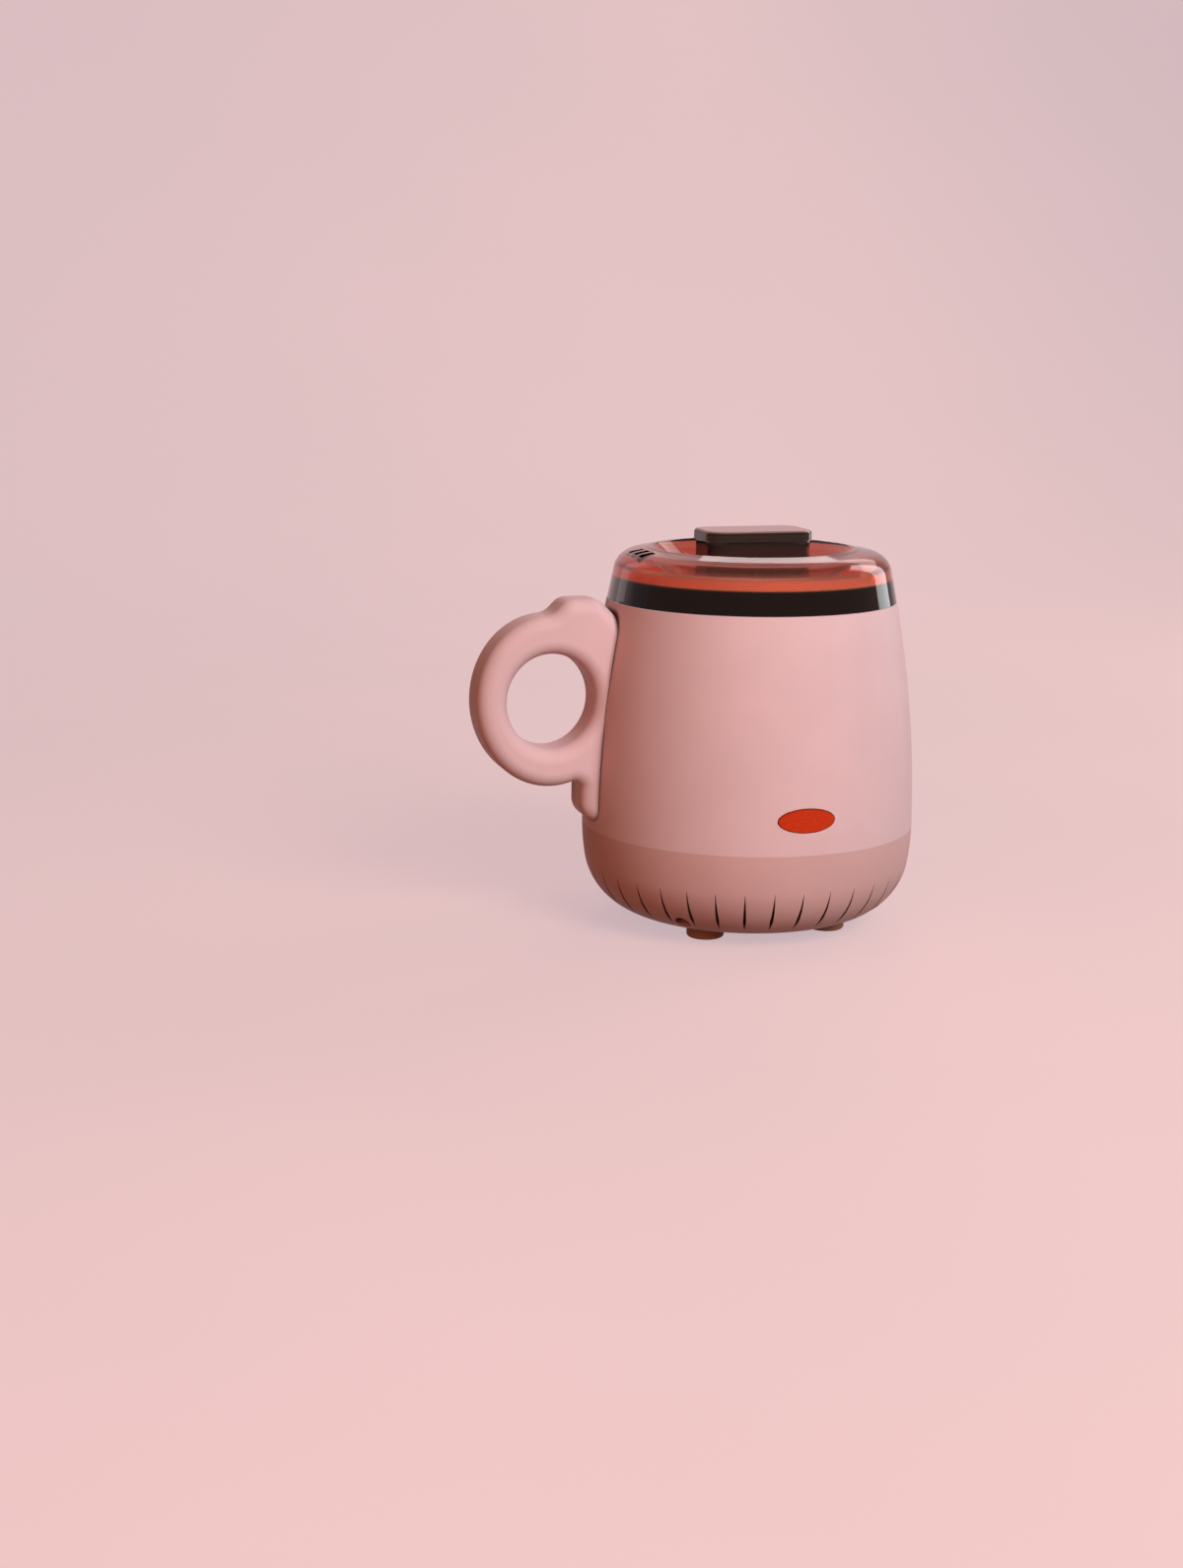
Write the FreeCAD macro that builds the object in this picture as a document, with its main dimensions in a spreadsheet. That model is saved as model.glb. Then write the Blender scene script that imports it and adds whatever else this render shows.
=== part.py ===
"""Wax warmer: a mug-shaped electric warmer with a lift-out pot and a see-through lid.

Millimetres, +Z up. The button faces -Y and the handle points to -X. The origin is the middle
of the footprint's box, on the surface that the four feet stand on. Sizes live in the sheet, and
each piece is drawn about the barrel's axis and then set beside the origin.
"""
import FreeCAD, Part
import math
import os
import re
import Sketcher

Vector = FreeCAD.Vector

SIZES = (
    # Barrel and base
    ("body_radius", 66.9),
    ("seam_height", 40.8),
    ("rim_radius", 57.8),
    ("rim_height", 131.0),
    ("shell_wall", 2.5),
    ("deck_wide", 5.8),
    ("deck_thick", 2.5),
    ("floor_height", 4.3),
    ("flank_radius", 90.0),
    ("corner_radius", 26.0),
    ("lip_height", 4.0),
    ("lip_depth", 3.0),
    ("lip_thick", 1.6),
    ("fit_gap", 0.2),
    ("overrun", 6.0),
    # Vent slits in the base
    ("slit_count", 36),
    ("slit_width", 1.5),
    ("slit_foot_rise", 4.3),
    ("slit_deep_rise", 11.2),
    ("slit_depth", 5.9),
    ("slit_top_drop", 4.3),
    # Feet
    ("foot_inset", 3.8),
    ("foot_radius", 7.45),
    ("foot_round", 1.2),
    ("socket_depth", 0.8),
    ("stem_radius", 2.6),
    ("stem_head_radius", 3.4),
    ("stem_head_high", 1.4),
    # Screws: the large kind holds the case, the small kind holds the electrics
    ("screw_radius", 1.5),
    ("screw_head_radius", 2.7),
    ("screw_head_high", 1.9),
    ("pin_radius", 0.95),
    ("pin_head_radius", 1.8),
    ("pin_head_high", 1.3),
    ("recess_width", 0.7),
    ("recess_depth", 0.8),
    ("screw_gap", 0.05),
    # Base screws in their channels
    ("base_screw_inset", 10.9),
    ("base_screw_rise", 15.7),
    ("base_screw_reach", 15.0),
    ("channel_radius", 3.1),
    ("channel_wall", 1.0),
    ("channel_head", 6.0),
    ("boss_radius", 4.2),
    ("boss_rise", 13.2),
    ("rib_thick", 2.4),
    # Handle
    ("handle_half", 11.0),
    ("handle_gap", 0.15),
    ("ring_out", 17.6),
    ("ring_drop", 37.6),
    ("ring_wide", 29.9),
    ("ring_tall", 33.7),
    ("finger_wide", 17.7),
    ("finger_tall", 18.8),
    ("thumb_rise", 6.1),
    ("thumb_out", 7.8),
    ("thumb_length", 12.7),
    ("thumb_round", 6.6),
    ("thumb_blend", 8.0),
    ("tail_out", 5.5),
    ("tail_rise", 3.8),
    ("tail_round", 7.5),
    ("tail_blend", 3.0),
    ("handle_round", 5.7),
    ("handle_wall", 3.2),
    ("handle_post_radius", 3.2),
    ("handle_screw_turn", 95.0),
    ("handle_screw_seat", 5.6),
    ("handle_screw_reach", 11.0),
    ("mount_screw_under", 27.4),
    ("mount_screw_over", 22.6),
    ("mount_screw_aside", 6.0),
    ("mount_screw_reach", 12.0),
    ("mount_pad_depth", 1.4),
    # Heating well: collar, cup and seal
    ("collar_wall", 1.0),
    ("collar_thick", 2.6),
    ("collar_foot_out", 1.2),
    ("collar_foot_high", 1.6),
    ("collar_high", 8.3),
    ("collar_spigot", 5.5),
    ("rebate_edge", 1.0),
    ("cup_gap", 0.3),
    ("cup_wall", 0.9),
    ("cup_rise", 22.2),
    ("cup_floor_thick", 1.0),
    ("cup_flange_thick", 1.0),
    ("seal_thick", 0.6),
    # Wax pot
    ("pot_side_gap", 0.6),
    ("pot_wall", 1.2),
    ("pot_floor_thick", 1.5),
    ("pot_corner", 6.0),
    ("pot_flange_thick", 1.0),
    ("pot_gap", 0.3),
    ("seat_gap", 0.1),
    # Heater under the cup
    ("plate_margin", 9.0),
    ("plate_thick", 6.0),
    ("element_gap", 1.4),
    ("element_radius", 2.8),
    ("element_sink", 1.8),
    ("stud_radius", 2.5),
    ("stud_bite", 4.0),
    ("spacer_radius", 4.0),
    ("spacer_foot_radius", 5.2),
    ("spacer_foot_high", 3.0),
    ("shield_over", 1.0),
    ("shield_thick", 0.8),
    ("shield_drop", 6.0),
    ("strap_end", 5.0),
    ("strap_width", 14.0),
    ("strap_thick", 1.5),
    ("strap_screw_inset", 12.9),
    ("strap_boss_high", 12.0),
    ("strap_bolt_reach", 8.0),
    ("nut_radius", 4.4),
    ("nut_high", 3.2),
    # Thermostat and fuse
    ("thermostat_gap", 0.4),
    ("thermostat_radius", 6.4),
    ("thermostat_high", 9.0),
    ("ear_length", 25.0),
    ("ear_width", 6.6),
    ("ear_thick", 1.2),
    ("ear_end", 2.7),
    ("ear_screw_reach", 4.0),
    ("tab_aside", 3.2),
    ("tab_width", 1.0),
    ("tab_depth", 4.0),
    ("tab_high", 6.0),
    ("fuse_gap", 5.7),
    ("fuse_radius", 2.0),
    ("fuse_length", 16.0),
    ("clip_length", 8.0),
    ("clip_width", 6.6),
    ("clip_high", 4.8),
    # Button and switch
    ("button_rise", 13.6),
    ("button_half_wide", 11.7),
    ("button_half_tall", 4.8),
    ("button_gap", 0.4),
    ("button_proud", 0.3),
    ("button_face_thick", 1.6),
    ("button_side_thick", 1.3),
    ("button_deep", 4.9),
    ("button_flange_thick", 1.4),
    ("button_flange_out", 1.4),
    ("plunger_radius", 2.3),
    ("plunger_short", 3.0),
    ("plunger_gap", 0.3),
    ("plunger_room", 2.6),
    ("board_inset", 13.9),
    ("board_thick", 1.6),
    ("board_half_wide", 22.0),
    ("board_half_tall", 8.0),
    ("board_screw_aside", 18.0),
    ("board_boss_radius", 3.0),
    ("board_screw_reach", 8.0),
    ("switch_half", 6.0),
    ("switch_deep", 5.5),
    ("lamp_aside", 9.0),
    ("lamp_radius", 1.5),
    ("lamp_length", 3.5),
    # Mains side: terminal block and cord gland
    ("block_back", 24.0),
    ("block_length", 26.0),
    ("block_width", 14.0),
    ("block_high", 11.0),
    ("block_boss_high", 4.2),
    ("block_boss_radius", 3.4),
    ("block_screw_bite", 3.4),
    ("wire_hole_radius", 1.6),
    ("wire_hole_in", 5.0),
    ("gland_drop", 9.8),
    ("gland_bore", 3.5),
    ("gland_neck_radius", 4.6),
    ("gland_flange_radius", 6.4),
    ("gland_flange_thick", 1.6),
    ("gland_snap_radius", 5.4),
    ("gland_snap_thick", 1.6),
    ("gland_sink", 1.2),
    # Lid
    ("lid_set", 0.1),
    ("lid_lift", 0.25),
    ("lid_wall", 2.2),
    ("shoulder_in", 3.65),
    ("shoulder_high", 18.05),
    ("shoulder_round", 9.0),
    ("dish_rim_in", 17.3),
    ("crown_rise", 2.4),
    ("dish_rim_round", 1.2),
    ("dish_slope", 9.4),
    ("dish_deep", 8.3),
    ("rib_inset", 0.6),
    ("seat_rib_thick", 1.6),
    ("vent_in", 8.0),
    ("vent_length", 5.6),
    ("vent_width", 4.2),
    ("vent_pitch", 6.7),
    ("vent_shift", 2.2),
    # Knob
    ("stem_length", 43.0),
    ("stem_width", 25.0),
    ("stem_corner", 6.8),
    ("stem_high", 11.3),
    ("cap_ledge", 0.7),
    ("cap_high", 4.1),
    ("cap_round", 1.5),
    ("knob_screw_reach", 9.0),
    # Leads inside the base
    ("lead_radius", 1.1),
)

# How far each underside corner of the lid's dish stands out from the corner above it
DISH_UNDER_SHARE = 0.6
# Where a lead's arcs begin and end along the shorter of its two runs
LEAD_ARC_SHARE = 0.45
# A cross recess reaches this far over a screw's head
RECESS_SHARE = 0.62
# The most that each rim of the handle's ring may be rounded, of the ring's own width
RIM_ROUND_SHARE = 0.47
# The most that the tail's corner and its blend into the ring may be rounded, of the tail's free length
TAIL_ROUND_SHARE = 0.42
TAIL_BLEND_SHARE = 0.3
# Each lead's points between its ends: the share of the way to its end and of its bow that it has gone
# across, and the shares of the way that it has gone along and up
SWITCH_LEAD_SHARES = ((0, 0, 0.18, 0), (0, 0.35, 0.55, 0.12), (0, 0.2, 0.84, 0.45), (0, 0, 0.87, 1))
THERMOSTAT_LEAD_SHARES = ((0, 0, 0.14, 0), (0, 0.5, 0.28, 1.9), (0.4, 0.2, 0.66, 3), (1, 0, 1, 2.2))
HEATER_LEAD_SHARES = ((0, 0, 0.4, 0), (0, 0.69, 0.7, 0.2), (0, 1, 1, 0.5), (0, 1, 1, 1))

# Places nearer than this count as one, and faces whose normals turn less than this as one smooth run
SAME_PLACE = 1e-4
SMOOTH_TURN = 1e-2

doc = FreeCAD.newDocument("wax_warmer")
sheet = doc.addObject("Spreadsheet::Sheet", "Sizes")
for row, (alias, value) in enumerate(SIZES, start=1):
    sheet.set(f"A{row}", alias)
    sheet.set(f"B{row}", str(value))
    sheet.setAlias(f"B{row}", alias)
doc.recompute()

ALIASES = {alias for alias, value in SIZES}
parts = []

# Places that follow from the sizes, each in the words of the sizes or of other places
PLACES = {
    # Base
    "corner_centre": "body_radius - flank_radius + sqrt((flank_radius - corner_radius) ^ 2"
                     " - (seam_height - floor_height - corner_radius) ^ 2)",
    "slit_foot_height": "floor_height + slit_foot_rise",
    "slit_foot_radius": "corner_centre + sqrt(corner_radius ^ 2 - (corner_radius - slit_foot_rise) ^ 2)",
    "slit_deep_height": "floor_height + slit_deep_rise",
    "slit_deep_radius": "corner_centre + sqrt(corner_radius ^ 2 - (corner_radius - slit_deep_rise) ^ 2)"
                        " - slit_depth",
    "slit_top_height": "floor_height + corner_radius - slit_top_drop",
    "slit_top_radius": "corner_centre + sqrt(corner_radius ^ 2 - slit_top_drop ^ 2)",
    "foot_ring": "corner_centre - foot_inset",
    "base_screw_ring": "body_radius - base_screw_inset",
    "base_screw_seat": "floor_height + base_screw_rise",
    "channel_top": "base_screw_seat + channel_head",
    "boss_top": "seam_height + boss_rise",
    "gland_height": "seam_height - gland_drop",
    "wire_hole_aside": "block_length / 2 - wire_hole_in",
    # Handle
    "ring_reach": "body_radius + ring_out",
    "ring_height": "rim_height - ring_drop",
    "thumb_height": "ring_height + ring_tall + thumb_rise",
    "thumb_start": "rim_radius + thumb_out",
    "thumb_end": "thumb_start + thumb_length",
    "tail_reach": "body_radius + tail_out",
    "tail_foot": "seam_height + tail_rise",
    "tail_room": "ring_height - ring_tall * sqrt(1 - ((ring_reach - tail_reach) / ring_wide) ^ 2)"
                 " - tail_foot",
    "mount_screw_low": "ring_height - mount_screw_under",
    "mount_screw_high": "ring_height + mount_screw_over",
    # Heating well and pot
    "deck_opening": "rim_radius - deck_wide",
    "collar_bore": "deck_opening - fit_gap - collar_wall",
    "collar_radius": "collar_bore + collar_thick",
    "collar_foot_radius": "collar_radius + collar_foot_out",
    "collar_top": "rim_height + collar_high",
    "rebate_radius": "collar_radius - rebate_edge",
    "cup_bore": "collar_bore - cup_gap - cup_wall",
    "cup_floor": "seam_height + cup_rise",
    "pot_radius": "cup_bore - pot_side_gap",
    "pot_flange_radius": "collar_radius - fit_gap",
    # Heater
    "shield_height": "cup_floor - plate_thick - shield_drop",
    "thermostat_back": "spacer_foot_radius + thermostat_gap + thermostat_radius",
    "ear_screw_aside": "ear_length / 2 - ear_end",
    "element_ring": "sqrt((ear_length / 2) ^ 2 + (thermostat_back + ear_width / 2) ^ 2)"
                    " + element_gap + element_radius",
    "plate_radius": "element_ring + plate_margin",
    "shield_radius": "plate_radius + shield_over",
    "strap_screw_reach": "body_radius - strap_screw_inset",
    "strap_half_length": "strap_screw_reach + strap_end",
    "fuse_front": "spacer_radius + fuse_gap + clip_width / 2",
    # Button and switch
    "button_height": "seam_height + button_rise",
    "button_back": "body_radius - button_deep",
    "board_front": "body_radius - board_inset",
    "plunger_end": "board_front + plunger_short",
    # Lid
    "lid_radius": "rim_radius - lid_set",
    "lid_foot": "rim_height + lid_lift",
    "shoulder_radius": "lid_radius - shoulder_in",
    "shoulder_height": "lid_foot + shoulder_high",
    "dish_rim_radius": "lid_radius - dish_rim_in",
    "dish_rim_height": "shoulder_height + crown_rise",
    "dish_floor_radius": "dish_rim_radius - dish_slope",
    "dish_floor_height": "dish_rim_height - dish_deep",
    "seat_rib_radius": "pot_flange_radius - rib_inset",
    "vent_outer": "lid_radius - vent_in",
    "vent_inner": "vent_outer - vent_length",
}


# Sizes and expressions

def linked(expression):
    """The same expression, with each place worked out and each size read from the sheet."""
    def read(word):
        if word[0] in PLACES:
            return f"({linked(PLACES[word[0]])})"
        return f"Sizes.{word[0]}" if word[0] in ALIASES else word[0]
    return re.sub(r"[a-z_]+", read, expression)


def size(expression):
    """The value of an expression in sizes and places."""
    return float(sheet.evalExpression(linked(expression).replace("Sizes.", "")))


def tie(thing, path, expression):
    thing.setExpression(path, linked(expression))


BARREL_ARC = ("(((rim_height - seam_height) ^ 2 + (body_radius - rim_radius) ^ 2)"
              " / (2 * (body_radius - rim_radius)))")
FLANK_CENTRE = "(body_radius - flank_radius)"
CORNER_HEIGHT = "(floor_height + corner_radius)"
ARC_STEP = "(flank_radius - corner_radius)"
CORNER_DROP = f"(seam_height - {CORNER_HEIGHT})"
CORNER_CENTRE = "corner_centre"
AXIS_X = "((ring_reach + ring_wide) - body_radius) / 2"
DIAGONAL = "sqrt(2) / 2"
FLOOR_TOP = "(floor_height + shell_wall)"
LIP_RADIUS = "(body_radius - shell_wall - fit_gap)"
PLATE_FOOT = "(cup_floor - plate_thick)"
SPACER_FOOT = "(shield_height - spacer_foot_high)"
STRAP_FOOT = f"({SPACER_FOOT} - strap_thick)"
SHELF = "(collar_top - cup_flange_thick - seal_thick)"
POT_FOOT = "(cup_floor + cup_floor_thick + pot_gap)"
POT_TOP = "(collar_top + seat_gap + pot_flange_thick)"
POT_BORE = "(pot_radius - pot_wall)"
BUTTON_FACE = "(body_radius + button_proud)"
BLOCK_FOOT = f"({FLOOR_TOP} + block_boss_high)"
GLAND_SEAT = "sqrt((body_radius - gland_sink) ^ 2 - gland_flange_radius ^ 2)"
GLAND_GRIP = f"({GLAND_SEAT} - sqrt((body_radius - gland_sink - shell_wall) ^ 2 - gland_snap_radius ^ 2))"
STEM_FOOT = "dish_floor_height"
CAP_FOOT = f"({STEM_FOOT} + stem_high)"
FOOT_TOP = "(floor_height + socket_depth)"


def barrel(height, inset="0"):
    """The barrel's radius at a height above the seam, taken inset below its outer face."""
    drop = f"({height} - seam_height)"
    return f"(body_radius - {BARREL_ARC} + sqrt(({BARREL_ARC} - {inset}) ^ 2 - {drop} ^ 2))"


def flank_foot(inset="0"):
    """Where the base's flank arc runs into its corner arc, taken inset below the outer face."""
    across = f"({FLANK_CENTRE} + (flank_radius - {inset}) * ({CORNER_CENTRE} - {FLANK_CENTRE}) / {ARC_STEP})"
    up = f"(seam_height - (flank_radius - {inset}) * {CORNER_DROP} / {ARC_STEP})"
    return across, up


# Sketches and features

def origin(body, role):
    return next(item for item in body.Origin.OriginFeatures if item.Role == role)


def new_body(name):
    return doc.addObject("PartDesign::Body", name)


def sketch(body, plane, lift="0"):
    """An empty drawing on one of the body's own planes, lifted along that plane's normal."""
    drawing = body.newObject("Sketcher::SketchObject", "drawing")
    drawing.AttachmentSupport = [(origin(body, plane), "")]
    drawing.MapMode = "FlatFace"
    tie(drawing, "AttachmentOffset.Base.z", lift)
    return drawing


def arc_between(start, end, bend):
    """An arc of under a half circle: a positive bend turns left on the way from start to end."""
    chord = end - start
    rise = math.sqrt(bend * bend - chord.Length * chord.Length / 4)
    aside = Vector(-chord.y, chord.x, 0).normalize()
    centre = (start + end) / 2 + aside * math.copysign(rise, bend)
    first, last = (start, end) if bend > 0 else (end, start)
    turn_from = math.atan2(first.y - centre.y, first.x - centre.x)
    turn_to = math.atan2(last.y - centre.y, last.x - centre.x)
    circle_line = Part.Circle(centre, Vector(0, 0, 1), abs(bend))
    return Part.ArcOfCircle(circle_line, turn_from, turn_to)


def outline(drawing, points):
    """A closed outline through points of (across, up) or (across, up, bend of the way there)."""
    corners = [Vector(size(point[0]), size(point[1]), 0) for point in points]
    first = drawing.GeometryCount
    ends = []
    for number, point in enumerate(points):
        start = corners[number - 1]
        end = corners[number]
        bend = size(point[2]) if len(point) > 2 else 0
        if bend:
            drawing.addGeometry(arc_between(start, end, bend), False)
        else:
            drawing.addGeometry(Part.LineSegment(start, end), False)
        ends.append((2, 1) if bend < 0 else (1, 2))
    for number, point in enumerate(points):
        line = first + number
        start_mark, end_mark = ends[number]
        before = first + (number - 1) % len(points)
        before_mark = ends[number - 1][1]
        drawing.addConstraint(Sketcher.Constraint("Coincident", before, before_mark, line, start_mark))
        held = drawing.addConstraint(Sketcher.Constraint("DistanceX", line, end_mark, corners[number].x))
        tie(drawing, f"Constraints[{held}]", point[0])
        held = drawing.addConstraint(Sketcher.Constraint("DistanceY", line, end_mark, corners[number].y))
        tie(drawing, f"Constraints[{held}]", point[1])
        if len(point) > 2:
            bend = size(point[2])
            held = drawing.addConstraint(Sketcher.Constraint("Radius", line, abs(bend)))
            tie(drawing, f"Constraints[{held}]", point[2] if bend > 0 else f"-1 * {point[2]}")


def circle(drawing, across, up, radius):
    centre = Vector(size(across), size(up), 0)
    line = drawing.addGeometry(Part.Circle(centre, Vector(0, 0, 1), size(radius)), False)
    held = drawing.addConstraint(Sketcher.Constraint("Radius", line, size(radius)))
    tie(drawing, f"Constraints[{held}]", radius)
    held = drawing.addConstraint(Sketcher.Constraint("DistanceX", line, 3, centre.x))
    tie(drawing, f"Constraints[{held}]", across)
    held = drawing.addConstraint(Sketcher.Constraint("DistanceY", line, 3, centre.y))
    tie(drawing, f"Constraints[{held}]", up)


def rectangle(drawing, left, right, low, high):
    outline(drawing, [(left, low), (right, low), (right, high), (left, high)])


def turn(body, drawing, kind="Revolution"):
    """Turn a drawing about the upright axis, to add or, as a Groove, to cut."""
    made = body.newObject(f"PartDesign::{kind}", kind)
    made.Profile = drawing
    made.ReferenceAxis = (drawing, ["V_Axis"])
    made.Angle = 360
    return made


def pad(body, drawing, length, kind="Pad", back=False):
    """Push a drawing along its normal (a Pocket: against it), or the other way with back."""
    made = body.newObject(f"PartDesign::{kind}", kind)
    made.Profile = drawing
    made.Type = "Length"
    made.Reversed = back
    tie(made, "Length", length)
    return made


def groove(body, low, high, width, depth):
    """A V-shaped cut, its bottom edge from low up to high, that is width across at depth over that edge."""
    across = f"({high[0]} - {low[0]})"
    up = f"({high[1]} - {low[1]})"
    reach = f"({depth} + overrun)"
    drawing = sketch(body, "XY_Plane", low[1])
    lean = math.degrees(math.atan2(size(across), size(up)))
    drawing.AttachmentOffset = FreeCAD.Placement(Vector(), FreeCAD.Rotation(Vector(0, 1, 0), lean))
    tie(drawing, "AttachmentOffset.Rotation.Angle", f"atan({across} / {up})")
    tie(drawing, "AttachmentOffset.Base.x", low[0])
    side = f"{reach} * {width} / (2 * {depth})"
    outline(drawing, [("0", "0"), (reach, f"-1 * {side}"), (reach, side)])
    return pad(body, drawing, f"sqrt({across} ^ 2 + {up} ^ 2)", "Pocket", back=True)


def around(body, features, count):
    """Repeat features evenly about the upright axis."""
    made = body.newObject("PartDesign::PolarPattern", "ring")
    made.Originals = features
    made.Axis = (origin(body, "Z_Axis"), [""])
    made.Angle = 360
    tie(made, "Occurrences", count)
    body.Tip = made
    return made


def round_edges(body, chosen, radius):
    """Round the edges of the body so far that chosen(edge) accepts."""
    doc.recompute()
    base = body.Tip
    names = [f"Edge{number}" for number, edge in enumerate(base.Shape.Edges, start=1) if chosen(edge)]
    made = body.newObject("PartDesign::Fillet", "round")
    made.Base = (base, names)
    tie(made, "Radius", radius)
    return made


def turned(name, points):
    """A body turned from one outline of (radius, height) points."""
    body = new_body(name)
    drawing = sketch(body, "XZ_Plane")
    outline(drawing, points)
    turn(body, drawing)
    return body


# Simple solids

TURNS = {
    "+Z": FreeCAD.Rotation(),
    "-Z": FreeCAD.Rotation(Vector(1, 0, 0), 180),
    "+X": FreeCAD.Rotation(Vector(0, 1, 0), 90),
    "-X": FreeCAD.Rotation(Vector(0, 1, 0), -90),
    "+Y": FreeCAD.Rotation(Vector(1, 0, 0), -90),
    "-Y": FreeCAD.Rotation(Vector(1, 0, 0), 90),
}


def put(thing, place, way="+Z"):
    """Set a piece at a place of three expressions, with its own +Z turned to point the given way."""
    thing.Placement = FreeCAD.Placement(Vector(), TURNS[way])
    for letter, expression in zip("xyz", place):
        tie(thing, f"Placement.Base.{letter}", expression)
    return thing


def cylinder(radius, length, place, way="+Z"):
    made = doc.addObject("Part::Cylinder", "cylinder")
    tie(made, "Radius", radius)
    tie(made, "Height", length)
    return put(made, place, way)


def box(length, width, height, place):
    """A box whose lowest corner is at place."""
    made = doc.addObject("Part::Box", "box")
    tie(made, "Length", length)
    tie(made, "Width", width)
    tie(made, "Height", height)
    return put(made, place)


def oval(half_wide, half_tall, front, back):
    """An upright oval prism at the button's height, from y = -front to y = -back."""
    line = doc.addObject("Part::Ellipse", "oval")
    tie(line, "MajorRadius", half_wide)
    tie(line, "MinorRadius", half_tall)
    put(line, ("0", f"-1 * ({back})", "button_height"), "-Y")
    made = doc.addObject("Part::Extrusion", "oval_prism")
    made.Base = line
    made.DirMode = "Custom"
    made.Dir = Vector(0, -1, 0)
    made.Solid = True
    tie(made, "LengthFwd", f"({front}) - ({back})")
    return made


def fused(pieces):
    made = doc.addObject("Part::MultiFuse", "fused")
    made.Shapes = pieces
    return made


def cut(base, tools):
    made = doc.addObject("Part::Cut", "cut")
    made.Base = base
    made.Tool = tools[0] if len(tools) == 1 else fused(tools)
    return made


def grouped(pieces):
    made = doc.addObject("Part::Compound", "group")
    made.Links = pieces
    return made


def shaped(name, make):
    """A piece whose shape is made by code that reads the sheet."""
    made = doc.addObject("Part::Feature", name)
    made.Shape = make()
    return made


def screw(kind, length, place, way):
    """A cross-head screw: place is under its head, and its shank points the given way."""
    head_radius = f"{kind}_head_radius"
    head_high = f"{kind}_head_high"
    head = cylinder(head_radius, head_high, ("0", "0", f"-1 * {head_high}"))
    shank = cylinder(f"{kind}_radius", length, ("0", "0", "0"))
    reach = f"{RECESS_SHARE} * {head_radius}"
    foot = f"-1 * {head_high}"
    long_cut = box(f"2 * {reach}", "recess_width", "recess_depth",
                   (f"-1 * {reach}", "-recess_width / 2", foot))
    cross_cut = box("recess_width", f"2 * {reach}", "recess_depth",
                    ("-recess_width / 2", f"-1 * {reach}", foot))
    return put(cut(fused([head, shank]), [long_cut, cross_cut]), place, way)


def node(thing, label):
    """Name a finished piece and set it beside the origin with the rest of the warmer."""
    thing.Label = label
    aside = [text for path, text in thing.ExpressionEngine if path.endswith("Placement.Base.x")]
    thing.setExpression("Placement.Base.x", " + ".join(aside + [linked(AXIS_X)]))
    parts.append(thing)


# Case

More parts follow.
